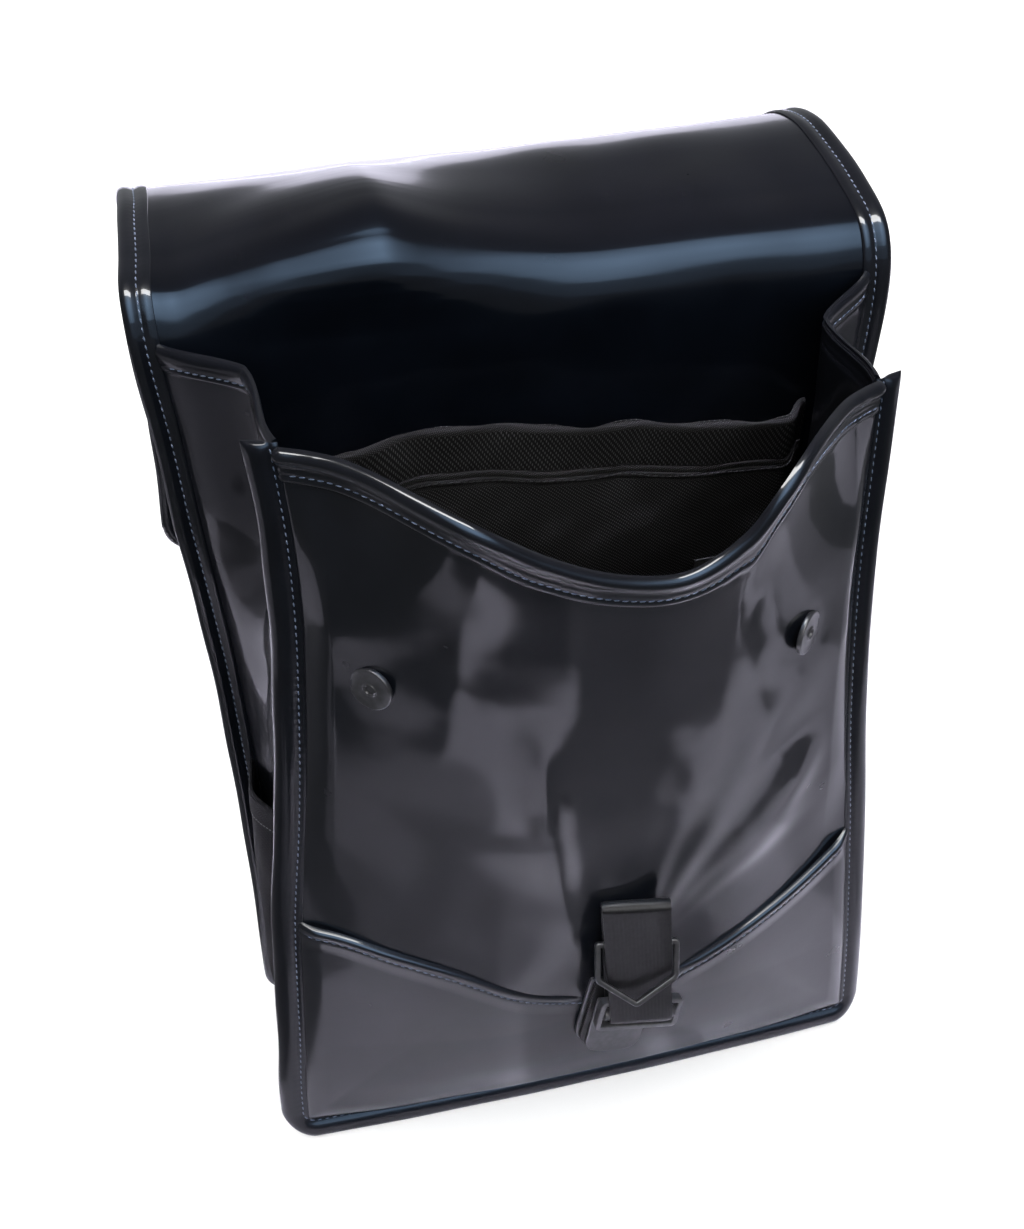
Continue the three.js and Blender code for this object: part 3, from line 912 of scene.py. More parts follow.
class BackForm:
    """Shape of the one sheet that is the back and the flap thrown open behind it."""

    line = Table(
        "row y z left right skew tilt",
        (0, 45, BINDING, -133, 134, 0, 0),
        (1, 45, 100, -134.5, 135, 0.5, 0),
        (2, 43, 200, -139.5, 139, 1.5, 0),
        (3, 39, 270, -146.5, 145, 3.5, 0),
        (4, 35, 320, -151, 148, 6, 0),
        (5, 33, 355, -155, 148.5, 6.5, 0),
        (6, 40, 374, -155.5, 148, 6.5, 0),
        (7, 60, 382.5, -153, 147.5, 5, 1),
        (8, 85, 388, -151, 147, 3, 2),
        (9, 105, 389.5, -149, 147, 2, 2.5),
        (10, 127, 385.5, -148, 147, 1, 2),
        (11, 148, 373, -147.5, 147, 0, 1),
        (12, 161, 350, -147, 147, 0, 0),
        (13, 166, 308, -147, 147, 0, 0),
        (14, 167, 250, -147, 147, 0, 0),
        (15, 167, 196, -147, 147, 0, 0),
    )
    bend_row = 6
    top = 358.0
    samples = 4000
    step = 0.5

    def __init__(self) -> None:
        """Lays the sheet's middle line out by the distance along it."""
        y, z = self.line.column("y"), self.line.column("z")
        chord = np.concatenate([[0.0], np.cumsum(np.hypot(np.diff(y), np.diff(z)))])
        rows = np.column_stack([chord, self.line.rows[:, 1:]])
        self.rows = Table("along y z left right skew tilt", *rows)
        self.length = float(chord[-1])
        self.bend = float(chord[self.bend_row])

    def left(self, along: Array) -> Array:
        """X of the sheet's left edge."""
        return self.rows.read(along, "left") + BINDING

    def right(self, along: Array) -> Array:
        """X of the sheet's right edge."""
        return self.rows.read(along, "right") - BINDING

    def edge(self, side: Side, along: Array) -> Array:
        """X of one edge of the sheet."""
        return self.left(along) if side is Side.LEFT else self.right(along)

    def point(self, x: Array, along: Array, lift: Array = 0.0) -> Array:
        """Points of the sheet, carried straight on past its ends.

        Args:
            x: Place across the bag.
            along: Distance along the sheet from the base.
            lift: Distance off the sheet, outwards from the bag.

        Returns:
            Points of shape (..., 3).
        """
        x, along, lift = np.broadcast_arrays(x, along, lift)
        inside = np.clip(along, 0.0, self.length)
        past = along - inside
        before = np.maximum(inside - self.step, 0)
        after = np.minimum(inside + self.step, self.length)
        slope_y = self.rows.read(after, "y") - self.rows.read(before, "y")
        slope_z = self.rows.read(after, "z") - self.rows.read(before, "z")
        length = np.hypot(slope_y, slope_z)
        slope_y, slope_z = slope_y / length, slope_z / length
        share = x / self.line.column("left")[0]
        skew = self.rows.read(inside, "skew") * share
        tilt = self.rows.read(inside, "tilt") * share
        y = self.rows.read(inside, "y") + slope_y * past + slope_z * lift + skew
        z = self.rows.read(inside, "z") + slope_z * past - slope_y * lift - tilt
        return np.stack([x, y, z], axis=-1)

    def along(self, z: Array) -> Array:
        """Distance along the sheet at which it stands at a height, below the bend."""
        at = np.linspace(0.0, self.bend, self.samples)
        return np.interp(z, self.rows.read(at, "z"), at)


FRONT = FrontForm()
BACK = BackForm()


# Sewing


@dataclass
class Sewing:
    """A row of stitches along a line on the cloth."""

    pitch: float = 3.4
    length: float = 2.5
    width: float = 0.62
    height: float = 0.6
    slant: float = 7.0
    segments: int = 6
    rings: int = 5

    def template(self) -> tuple[Array, list[tuple[int, ...]]]:
        """Makes one stitch about its own middle, along X with Z up.

        Returns:
            Its points and faces.
        """
        deselect()
        bpy.ops.mesh.primitive_uv_sphere_add(segments=self.segments, ring_count=self.rings, radius=0.5)
        ball = bpy.context.active_object
        points = np.array([v.co for v in ball.data.vertices])[:, [2, 0, 1]]
        faces = [tuple(p.vertices) for p in ball.data.polygons]
        bpy.data.objects.remove(ball)
        turn = math.radians(self.slant)
        points = points * np.array([self.length, self.width, self.height])
        x = points[:, 0] * math.cos(turn) - points[:, 1] * math.sin(turn)
        y = points[:, 0] * math.sin(turn) + points[:, 1] * math.cos(turn)
        return np.column_stack([x, y, points[:, 2]]), faces

    def row(
        self, name: str, line: Array, normals: Array, material: Material, slot: Slot
    ) -> Piece:
        """Sews one row.

        Args:
            name: Name of the new piece.
            line: Points on the cloth's surface, in millimetres.
            normals: Directions out of the cloth there.
            material: The thread.
            slot: Slot of the cloth that it is sewn in.

        Returns:
            All stitches of the row as one piece.
        """
        along = travelled(line)
        at = np.arange(self.pitch, along[-1] - self.pitch / 2, self.pitch)
        half = self.length / 2
        middle = read_along(at, along, line)
        up = unit(read_along(at, along, normals))
        ahead = unit(read_along(at + half, along, line) - read_along(at - half, along, line))
        across = unit(np.cross(up, ahead))
        points, faces = self.template()
        placed = (
            middle[:, None]
            + points[None, :, 0, None] * ahead[:, None]
            + points[None, :, 1, None] * across[:, None]
            + points[None, :, 2, None] * up[:, None]
        )
        count = len(points)
        copies = [tuple(i + k * count for i in f) for k in range(len(at)) for f in faces]
        piece = mesh_piece(name, placed.reshape(-1, 3), copies)
        shade(piece, 180.0)
        return dress(piece, material, slot)

    def hem(
        self, name: str, patch: Patch, row: int, trim: int, material: Material, slot: Slot
    ) -> Piece:
        """Sews along one row of points of a sheet.

        Args:
            name: Name of the new piece.
            patch: The sheet's surface.
            row: The row.
            trim: Points left free at either end of it.
            material: The thread.
            slot: Slot of the cloth that it is sewn in.

        Returns:
            All stitches of the row as one piece.
        """
        inner = slice(trim, -trim)
        return self.row(name, patch.points[row, inner], patch.normals()[row, inner], material, slot)


# Hems

HEM_FLOOR = -0.7
RIM_HEM = Table(
    "drop lift",
    (0.0, -0.9), (0.25, 0.3), (0.8, 1.35), (1.8, 2.2), (3.2, 2.7), (4.4, 2.4), (5.6, 1.65),
    (6.6, 1.15), (9.3, 1.05), (10.2, 0.8), (11.2, 1.05), (12.6, 0.95), (13.1, 0.5), (13.5, 0.0),
    (16.0, 0.0),
)
SEAM_HEM = Table(
    "drop lift",
    (0.0, -0.7), (0.2, 0.5), (0.7, 1.4), (1.5, 2.0), (2.6, 2.1), (4.0, 1.6), (5.0, 0.95),
    (5.4, 0.85), (6.2, 1.0), (8.0, 0.7), (12.0, 0.0),
)
GUSSET_HEM = Table(
    "drop lift",
    (0.0, -0.9), (0.25, 0.3), (0.8, 1.0), (1.8, 1.6), (3.2, 1.8), (5.5, 1.4), (7.4, 0.75),
    (8.0, 0.6), (8.8, 0.8), (9.6, 0.8), (10.2, 0.4), (10.6, 0.0), (13.0, 0.0),
)
POCKET_HEM = Table(
    "drop lift",
    (0.0, -0.5), (0.3, 0.1), (0.8, 0.5), (1.6, 0.75), (3.0, 0.8), (5.0, 0.75), (8.0, 0.7),
    (10.0, 0.55), (11.4, 0.3), (12.0, 0.45), (12.4, 0.1), (13.0, 0.0),
)
SLEEVE_HEM = Table(
    "drop lift",
    (0.0, -1.2), (0.4, 0.0), (1.2, 0.6), (3.0, 0.9), (12.0, 0.9), (20.4, 0.9), (20.9, 0.5),
    (21.4, 0.95), (23.6, 0.95), (24.1, 0.5), (24.7, 0.9), (26.4, 0.85), (27.0, 0.1), (29.0, 0.0),
)


def hem_drops(hem: Table, extra: int = 2) -> Array:
    """Distances below the edge at which a hem has its rows of points.

    Args:
        hem: The hem's profile.
        extra: Rows to each step of the profile.

    Returns:
        The distances, from the edge down.
    """
    drops = hem.column("drop")
    shares = np.arange(extra) / extra
    fine = [lerp(a, b, s) for a, b in zip(drops[:-1], drops[1:]) for s in shares]
    return np.array([*fine, drops[-1]])


def hem_lift(hem: Table, drop: Array) -> Array:
    """How far a hem stands out at distances below the edge."""
    return np.where(drop < hem.column("drop")[-1], hem.read(drop, "lift"), 0.0)


def row_at(drop: Array, depth: float, column: int = 0) -> int:
    """Row of points of a sheet that is nearest to a distance below its edge."""
    return int(np.argmin(np.abs(drop[:, column] - depth)))


# Front of the bag


@dataclass(frozen=True)
class Crease:
    """A straight soft ridge in the cloth, seen from the front."""

    start: Pair
    end: Pair
    right_width: float
    left_width: float
    height: float
    rise: Pair = (-0.25, 0.35)
    fall: Pair = (0.65, 1.25)

    def at(self, x: Array, z: Array) -> Array:
        """Height of the ridge at each spot.

        Args:
            x: Places across the bag.
            z: Heights.

        Returns:
            How far the ridge stands out.
        """
        dx, dz = self.end[0] - self.start[0], self.end[1] - self.start[1]
        length = math.hypot(dx, dz)
        along = ((x - self.start[0]) * dx + (z - self.start[1]) * dz) / length**2
        across = ((x - self.start[0]) * dz - (z - self.start[1]) * dx) / length
        ends = smoothstep(along, *self.rise) * (1 - smoothstep(along, *self.fall))
        width = np.where(across < 0, self.right_width, self.left_width)
        return self.height * bell(across, width) * ends


@dataclass
class FrontPanels:
    """The front panel with its scooped rim, and the puffed lower panel."""

    finishes: Finishes
    columns: int = 190
    rows: int = 110
    lower_rows: int = 70
    passes: int = 8
    first_height: float = 150.0
    bunching: float = 0.45
    wall: float = 1.3
    rim_stitch: float = 10.2
    seam_stitch: float = 5.2
    stitch_trim: int = 2
    seam_overlap: float = 3.0
    rim_calm: float = 40.0
    rim_folds: float = 0.2
    side_calm: float = 0.16
    tape_x: float = 16.0
    tape_clear: Pair = (16.0, 34.0)
    puff: float = 3.0
    puff_reach: float = 14.0
    puff_fade: float = 28.0
    puff_above_seam: Pair = (4.0, 55.0)
    snap_calm: float = 16.0
    snap_pull: float = 0.35
    snap_pull_reach: float = 22.0
    lower_puff: float = 3.0
    lower_reach: float = 9.0
    lower_outer: Pair = (0.3, 0.8)
    lower_waves: float = 0.35
    lower_wave_shift: float = 40.0
    lower_calm: float = 20.0
    puff_at_seam: float = 0.75
    puff_below: float = 30.0
    hem_under_tape: float = 0.12
    hem_at_sides: float = 0.4
    hem_side_reach: float = 7.0
    fan_foot: float = 88.0
    fan_height: float = 0.2
    fan_creases: tuple[Three, ...] = ((1.0, 17.0, 0.6), (0.7, 29.0, 2.0))
    fan_left: Pair = (-0.1, 0.25)
    fan_right: Pair = (0.75, 1.05)
    fan_start: Pair = (15.0, 80.0)
    fan_end: Pair = (130.0, 240.0)
    valley: float = 2.0
    valley_foot: float = 110.0
    valley_width: float = 8.0
    valley_widens: float = 0.28
    valley_rise: Pair = (108.0, 205.0)
    valley_fall: Pair = (230.0, 345.0)
    valley_fall_share: float = 0.4
    creases: tuple[Crease, ...] = (
        Crease((-31.0, 218.0), (-9.0, 92.0), 10.0, 30.0, 4.6),
        Crease((93.0, 190.0), (62.0, 134.0), 11.0, 16.0, 3.8),
    )
    tape_swell: float = 2.8
    tape_swell_at: Pair = (16.0, 127.0)
    tape_swell_reach: float = 21.0
    waves: Ripples = Ripples(95.0, 0.35, 11)
    small_waves: Ripples = Ripples(38.0, 0.07, 5)

    def lay(
        self, low: Callable[[Array], Array], line: Table, hem: Table, rows: int
    ) -> tuple[Array, Array, Array]:
        """Places rows and columns between a lower edge and a hemmed upper edge.

        Args:
            low: Height of the lower edge at X.
            line: Height of the upper edge at X.
            hem: Profile of the upper hem.
            rows: Number of rows below the hem.

        Returns:
            X, Z and the distance below the upper edge, each of shape (rows, columns).
        """
        even = np.linspace(0.0, 1.0, self.columns)[None, :]
        u = lerp(even, 0.5 - 0.5 * np.cos(np.pi * even), self.bunching)
        drops = hem_drops(hem)[::-1, None]
        shares = np.linspace(0.0, 1.0, rows, endpoint=False)[:, None]
        z = np.full((rows + len(drops), self.columns), self.first_height)
        for _ in range(self.passes):
            inset = corner_inset(z - BINDING)
            x = lerp(FRONT.left(z) + inset, FRONT.right(z) - inset, u)
            high = line.read(x, "z")
            slant = FRONT.slant(line, x)
            start = (high - drops[0] * slant)[:rows]
            body = lerp(low(x[:rows]), start, shares)
            z = np.vstack([body, (high[rows:] - drops * slant[rows:])])
        return x, z, (line.read(x, "z") - z) / FRONT.slant(line, x)

    def folds(self, x: Array, z: Array) -> Array:
        """How far the cloth's folds stand out of the plain front.

        Args:
            x: Places across the bag.
            z: Heights.

        Returns:
            The distances.
        """
        share = FRONT.share(x, z)
        sides = smoothstep(np.minimum(share, 1 - share), 0.0, self.side_calm)
        width = self.valley_width + self.valley_widens * np.maximum(z - self.valley_foot, 0.0)
        shallow = 1 - self.valley_fall_share * smoothstep(z, *self.valley_fall)
        folds = -self.valley * (smoothstep(z, *self.valley_rise) * shallow) * bell(x - self.tape_x, width)
        folds = folds + sum(crease.at(x, z) for crease in self.creases)
        folds = folds + self.fan(x, z) + self.waves.at(x, z) + self.small_waves.at(x, z)
        for spot in Snaps.spots.values():
            far = np.hypot(x - spot[0], z - spot[1])
            folds = folds * (1 - bell(far, self.snap_calm))
        far = np.hypot(x - self.tape_swell_at[0], z - self.tape_swell_at[1])
        folds = folds + self.tape_swell * bell(far, self.tape_swell_reach)
        return folds * sides + self.pillow(x, z)

    def fan(self, x: Array, z: Array) -> Array:
        """Creases that spread upwards from the top of the buckle.

        Args:
            x: Places across the bag.
            z: Heights.

        Returns:
            How far they stand out.
        """
        across, up = x - self.tape_x, z - self.fan_foot
        far = np.hypot(across, up)
        turn = np.arctan2(across, np.maximum(up, 1.0))
        creases = sum(high * np.sin(pace * turn + phase) for high, pace, phase in self.fan_creases)
        spread = smoothstep(turn, *self.fan_left) * (1 - smoothstep(turn, *self.fan_right))
        reach = smoothstep(far, *self.fan_start) * (1 - smoothstep(far, *self.fan_end))
        return self.fan_height * creases * spread * reach

    def pillow(self, x: Array, z: Array) -> Array:
        """How far the cloth swells out beside the bound edges, apart from where a snap holds it.

        Args:
            x: Places across the bag.
            z: Heights.

        Returns:
            The distances.
        """
        share = FRONT.share(x, z)
        inside = np.minimum(share, 1 - share) * (FRONT.right(z) - FRONT.left(z))
        swell = rounded_rise(inside, self.puff, self.puff_reach, self.puff_fade)
        for spot in Snaps.spots.values():
            far = np.hypot(x - spot[0], z - spot[1])
            swell = swell * (1 - self.snap_pull * bell(far, self.snap_pull_reach))
        return swell * smoothstep(z - FRONT.seam.read(x, "z"), *self.puff_above_seam)

    def build(self) -> None:
        """Makes both panels and their stitches."""
        self.upper_panel()
        self.lower_panel()

    def upper_panel(self) -> None:
        """The front from the curved seam to the scooped rim."""
        x, z, drop = self.lay(
            lambda at: FRONT.seam.read(at, "z") - self.seam_overlap, FRONT.rim, RIM_HEM, self.rows
        )
        calm = lerp(self.rim_folds, 1.0, smoothstep(drop, 0.0, self.rim_calm))
        swell = self.pillow(x, z)
        lift = WALL / 2 + FRONT.fuller(x, z) + swell + (self.folds(x, z) - swell) * calm
        hem = hem_lift(RIM_HEM, drop)
        patch = Patch(FRONT.point(x, z)).lifted(lift).lifted(hem)
        piece = patch.wall("front_cloth", self.wall + np.maximum(hem, HEM_FLOOR))
        dress(piece, self.finishes.cloth, Slot.COATED, "front_panel")
        row = row_at(drop, self.rim_stitch)
        rim = Sewing().hem(
            "rim_stitches", patch, row, self.stitch_trim, self.finishes.thread, Slot.COATED
        )
        patch.flat_size()

    def lower_panel(self) -> None:
        """The puffed panel under the curved seam, with its rolled upper edge."""
        x, z, drop = self.lay(lambda at: np.full_like(at, BINDING), FRONT.seam, SEAM_HEM, self.lower_rows)
        share = FRONT.share(x, z)
        width = FRONT.right(z) - FRONT.left(z)
        nearest = np.minimum(np.minimum(share, 1 - share) * width, z - BINDING)
        outer = smoothstep(np.abs(2 * share - 1), *self.lower_outer)
        puff = rounded_rise(nearest, self.lower_puff, self.lower_reach, self.puff_fade) * outer
        puff = puff * lerp(self.puff_at_seam, 1.0, smoothstep(drop, 0.0, self.puff_below))
        waves = self.lower_waves * self.waves.at(x + self.lower_wave_shift, z)
        waves = waves * smoothstep(nearest, 0.0, self.lower_calm)
        clear = smoothstep(np.abs(x - self.tape_x), *self.tape_clear)
        lift = WALL / 2 + FRONT.fuller(x, z) + puff + waves * clear
        sides = smoothstep(np.minimum(share, 1 - share) * width, 0.0, self.hem_side_reach)
        hem = hem_lift(SEAM_HEM, drop)
        flatter = lerp(self.hem_under_tape, 1.0, clear)
        hem = np.where(hem > 0, hem * flatter * lerp(self.hem_at_sides, 1.0, sides), hem)
        patch = Patch(FRONT.point(x, z)).lifted(lift).lifted(hem)
        piece = patch.wall("lower_front_cloth", self.wall + np.maximum(hem, HEM_FLOOR))
        dress(piece, self.finishes.cloth, Slot.COATED, "lower_front_panel")
        row = row_at(drop, self.seam_stitch)
        sewn = Sewing(length=2.2).hem(
            "seam_stitches", patch, row, self.stitch_trim, self.finishes.thread, Slot.COATED
        )
        patch.flat_size()


# Bound edges


@dataclass
class EdgeRun:
    """Fine stops along the edge of a sheet, with the outward direction at each."""

    x: Array
    s: Array
    out_x: Array
    out_s: Array
    arc_steps: ClassVar[int] = 22

    @staticmethod
    def trace(
        left: Callable[[Array], Array], right: Callable[[Array], Array], low: float, high: Pair,
        spacing: float, closed: bool,
    ) -> "EdgeRun":
        """Follows a sheet's edge from its top left corner round the bottom.

        Args:
            left: X of the left edge at a distance up the sheet.
            right: X of the right edge.
            low: Distance of the lower edge.
            high: Distances of the upper ends, left and right.
            spacing: Distance between stops.
            closed: Whether the run goes on across the upper edge.

        Returns:
            The stops.
        """
        parts = []
        ends = CORNER if closed else 0.0

        def stops(start: float, end: float) -> Array:
            """Even stops from a start up to an end."""
            return np.linspace(start, end, int(abs(end - start) / spacing), endpoint=False)

        def add(x: Array, s: Array, out_x: Array, out_s: Array) -> None:
            """Adds stops with their outward directions."""
            parts.append(np.column_stack([*np.broadcast_arrays(x, s, out_x, out_s)]))

        def side(edge: Callable[[Array], Array], start: float, end: float, way: float) -> None:
            """Adds the stops of a side."""
            s = stops(start, end)
            add(edge(s), s, way, 0.0)

        def arc(x: float, s: float, start: float) -> None:
            """Adds the stops of a rounded corner.

            Args:
                x: Middle of the rounding across the sheet.
                s: Middle of the rounding up the sheet.
                start: Angle at which it starts, in degrees.
            """
            angle = np.radians(np.linspace(start, start + 90.0, EdgeRun.arc_steps, endpoint=False))
            out_x, out_s = np.cos(angle), np.sin(angle)
            add(x + CORNER * out_x, s + CORNER * out_s, out_x, out_s)

        def end(start: float, stop: float, s: float, way: float) -> None:
            """Adds the stops of the lower or upper edge."""
            add(stops(start, stop), s, 0.0, way)

        low_left, low_right = float(left(low)) + CORNER, float(right(low)) - CORNER
        side(left, high[0] - ends, low + CORNER, -1.0)
        arc(low_left, low + CORNER, 180.0)
        end(low_left, low_right, low, -1.0)
        arc(low_right, low + CORNER, 270.0)
        side(right, low + CORNER, high[1] - ends, 1.0)
        if closed:
            high_left, high_right = float(left(high[0])) + CORNER, float(right(high[1])) - CORNER
            arc(high_right, high[1] - CORNER, 0.0)
            end(high_right, high_left, high[1], 1.0)
            arc(high_left, high[0] - CORNER, 90.0)
        return EdgeRun(*np.vstack(parts).T)

    def travel(self) -> Array:
        """Distance of each stop along the run."""
        steps = np.hypot(np.diff(self.x), np.diff(self.s))
        return np.concatenate([[0.0], np.cumsum(steps)])


@dataclass
class Binding:
    """A strip folded round the edge of a sheet and sewn through."""

    name: str
    node: str
    profile: Table
    stitch_out: float
    run: EdgeRun
    closed: bool
    front: float
    place: Callable[[Array, Array, Array], Array]
    wander: Ripples = Ripples(46.0, 0.28, 3)
    gather: float = 0.07
    gather_width: float = 1.8
    wander_lift: float = 0.5
    end_round: float = 5.0
    end_thin: float = 0.2
    set_back: Pair = (0.0, 0.0)
    set_back_from: float = 1.0
    stitch_reach: float = 1.5

    def loop(self) -> Array:
        """Section of the strip: distance out of the sheet's edge and height off its middle."""
        out, lift = self.profile.column("out"), self.profile.column("lift")
        return np.concatenate([np.column_stack([out, -lift]), np.column_stack([out, lift])[::-1]])

    def spots(self, out: Array, lift: Array) -> Array:
        """Points of the strip at all stops.

        Args:
            out: Distances out of the sheet's edge.
            lift: Heights off the sheet's middle.

        Returns:
            Points of shape (stops, section, 3).
        """
        run = self.run
        along = run.travel()[:, None]
        grown = np.clip(out / BINDING, 0.0, 1.0)
        uneven = self.wander.at(along, np.zeros_like(along))
        if not self.closed:
            end = np.clip(np.minimum(along, along[-1] - along) / self.end_round, 0.0, 1.0)
            lift = lift * lerp(self.end_thin, 1.0, np.sqrt(1 - (1 - end) ** 2))
        stitched = 0.5 * (1 + np.cos(math.tau * along / Sewing.pitch))
        pinch = bell(out - self.stitch_out, self.gather_width) * stitched
        out = out + uneven * grown
        lift = lift * (1 - self.gather * pinch) + self.wander_lift * uneven * grown
        out_x, out_s = run.out_x[:, None], run.out_s[:, None]
        turned = self.set_back[0] * out_x**2 - self.set_back[1] * out_s**2
        lift = lift - self.front * turned * np.maximum(out - self.set_back_from, 0.0)
        return self.place(run.x[:, None] + out_x * out, run.s[:, None] + out_s * out, lift)

    def build(self, finishes: Finishes) -> None:
        """Makes the strip and the row of stitches on its shown side.

        Args:
            finishes: The materials.
        """
        loop = self.loop()
        rings = self.spots(loop[None, :, 0], loop[None, :, 1])
        piece = tube(self.name, rings, self.closed)
        dress(piece, finishes.cloth if self.closed else finishes.strip, Slot.BINDING, self.node)
        out = np.array([[self.stitch_out]])
        high = self.front * self.profile_height()
        line = self.spots(out, np.array([[high]]))[:, 0]
        base = self.spots(out, np.array([[0.0]]))[:, 0]
        Sewing(length=2.1, height=0.7).row(
            f"{self.name}_stitches", line, unit(line - base), finishes.thread, Slot.BINDING
        )

    def profile_height(self) -> float:
        """Height of the strip's shown side at the stitches.

        Returns:
            The height off the sheet's middle.
        """
        order = np.argsort(self.profile.column("out"), kind="stable")
        upper = self.profile.rows[order]
        near = upper[np.abs(upper[:, 0] - self.stitch_out) < self.stitch_reach]
        return float(near[np.argmin(np.abs(near[:, 0] - self.stitch_out)), 1])


FRONT_PROFILE = Table(
    "out lift",
    (0.6, 0.0), (0.6, 0.9), (-0.9, 0.95), (-1.15, 1.2), (-0.95, 1.5), (-0.1, 1.65), (1.0, 1.4),
    (1.8, 1.1), (2.4, 1.35), (3.3, 2.1), (4.5, 2.8), (6.0, 3.15), (7.5, 3.05), (8.7, 2.75),
    (9.6, 2.25), (10.3, 1.6), (10.75, 0.9), (10.9, 0.35), (10.8, 0.0),
)
BACK_PROFILE = Table(
    "out lift",
    (0.6, 0.0), (0.6, 0.9), (-0.9, 0.95), (-1.15, 1.2), (-0.95, 1.5), (0.6, 1.95), (2.2, 1.9),
    (3.6, 1.35), (4.3, 1.2), (5.0, 1.4), (6.4, 2.05), (8.0, 2.3), (9.6, 1.95), (10.6, 1.3),
    (10.95, 0.7), (10.75, 0.25), (10.55, 0.0),
)


def front_binding() -> Binding:
    """Lays the strip round the front's edge.

    Returns:
        The strip.
    """

    def place(x: Array, z: Array, lift: Array) -> Array:
        """Points beside the front's edge."""
        x, z, lift = np.broadcast_arrays(x, z, lift)
        return np.stack([x, FRONT.edge_y(x, z) + lift, z], axis=-1)

    tops = (FRONT.top[Side.LEFT], FRONT.top[Side.RIGHT])
    return Binding(
        "front_bound_edge", "front_binding", FRONT_PROFILE, stitch_out=1.8,
        run=EdgeRun.trace(FRONT.left, FRONT.right, BINDING, tops, spacing=0.85, closed=False),
        closed=False, front=-1.0, place=place, set_back=(0.42, 0.16),
    )


def back_binding() -> Binding:
    """Lays the strip round the edge of the back and the flap.

    Returns:
        The strip.
    """
    tops = (BACK.length, BACK.length)
    return Binding(
        "back_bound_edge", "back_binding", BACK_PROFILE, stitch_out=4.3,
        run=EdgeRun.trace(BACK.left, BACK.right, 0.0, tops, spacing=1.13, closed=True), closed=True,
        front=-1.0, place=BACK.point,
    )


# Back and flap


@dataclass
class BackAndFlap:
    """The sheet of the back and the flap, which bends sharply over at its top."""

    finishes: Finishes
    columns: int = 130
    rows: int = 160
    bend_rows: int = 70
    bend_below: float = 45.0
    bend_above: float = 55.0
    row_gap: float = 0.2
    wall: float = 1.6
    edge_width: float = 280.0
    edge_calm: float = 30.0
    fold_calm: float = 12.0
    peak_x: float = -58.0
    peak_rise: float = 19.0
    peak_left: float = 54.0
    peak_right: float = 30.0
    peak_blunt: float = 0.12
    peak_power: float = 1.25
    hump_rise: Pair = (-24.0, 14.0)
    hump_fall: Pair = (14.0, 95.0)
    left_drop: float = 7.0
    left_drop_from: Pair = (95.0, 150.0)
    sag: float = 3.4
    sag_x: float = 25.0
    sag_width: float = 36.0
    waves: Ripples = Ripples(120.0, 0.9, 21)
    small_waves: Ripples = Ripples(45.0, 0.2, 23)

    def folds(self, x: Array, along: Array) -> Array:
        """How far the cloth's folds stand out of the sheet on its shown side.

        Args:
            x: Places across the bag.
            along: Distances along the sheet from the base.

        Returns:
            The distances.
        """
        past = along - BACK.bend
        wide = np.where(x < self.peak_x, self.peak_left, self.peak_right)
        off = np.hypot((x - self.peak_x) / wide, self.peak_blunt) - self.peak_blunt
        peak = self.peak_rise * np.exp(-(off**self.peak_power))
        hump = smoothstep(past, *self.hump_rise) * (1 - smoothstep(past, *self.hump_fall))
        left = -self.left_drop * smoothstep(-x, *self.left_drop_from)
        sag = -self.sag * bell(x - self.sag_x, self.sag_width)
        return (peak + left + sag) * hump

    def build(self) -> None:
        """Makes the sheet."""
        even = np.linspace(0.0, BACK.length, self.rows)
        bend = np.linspace(BACK.bend - self.bend_below, BACK.bend + self.bend_above, self.bend_rows)
        rows = np.sort(np.concatenate([even, bend]))
        rows = rows[np.concatenate([[True], np.diff(rows) > self.row_gap])]
        along = rows[:, None]
        ends = np.minimum(along, BACK.length - along)
        inset = corner_inset(ends)
        u = np.linspace(0.0, 1.0, self.columns)[None, :]
        x = lerp(BACK.left(along) + inset, BACK.right(along) - inset, u)
        edge = np.minimum(np.minimum(u, 1 - u) * self.edge_width, ends)
        calm = smoothstep(edge, 0.0, self.edge_calm)
        along = np.broadcast_to(along, x.shape)
        lift = self.folds(x, along) * smoothstep(edge, 0.0, self.fold_calm)
        lift = lift + (self.waves.at(x, along) + self.small_waves.at(x, along)) * calm
        patch = Patch(BACK.point(x, along)).lifted(WALL / 2 + lift)
        piece = patch.wall("back_and_flap_cloth", self.wall)
        dress(piece, self.finishes.back_cloth, Slot.COATED, "back_and_flap")
        patch.flat_size()


# Sides and base


@dataclass(frozen=True)
class Dent:
    """A soft round dent in a side, or a swelling, at a share of its depth and a height."""

    share: float
    z: float
    share_width: float
    z_width: float
    rise: float

    def at(self, share: Array, z: Array) -> Array:
        """How far it stands out at each spot."""
        return self.rise * bell(share - self.share, self.share_width) * bell(z - self.z, self.z_width)


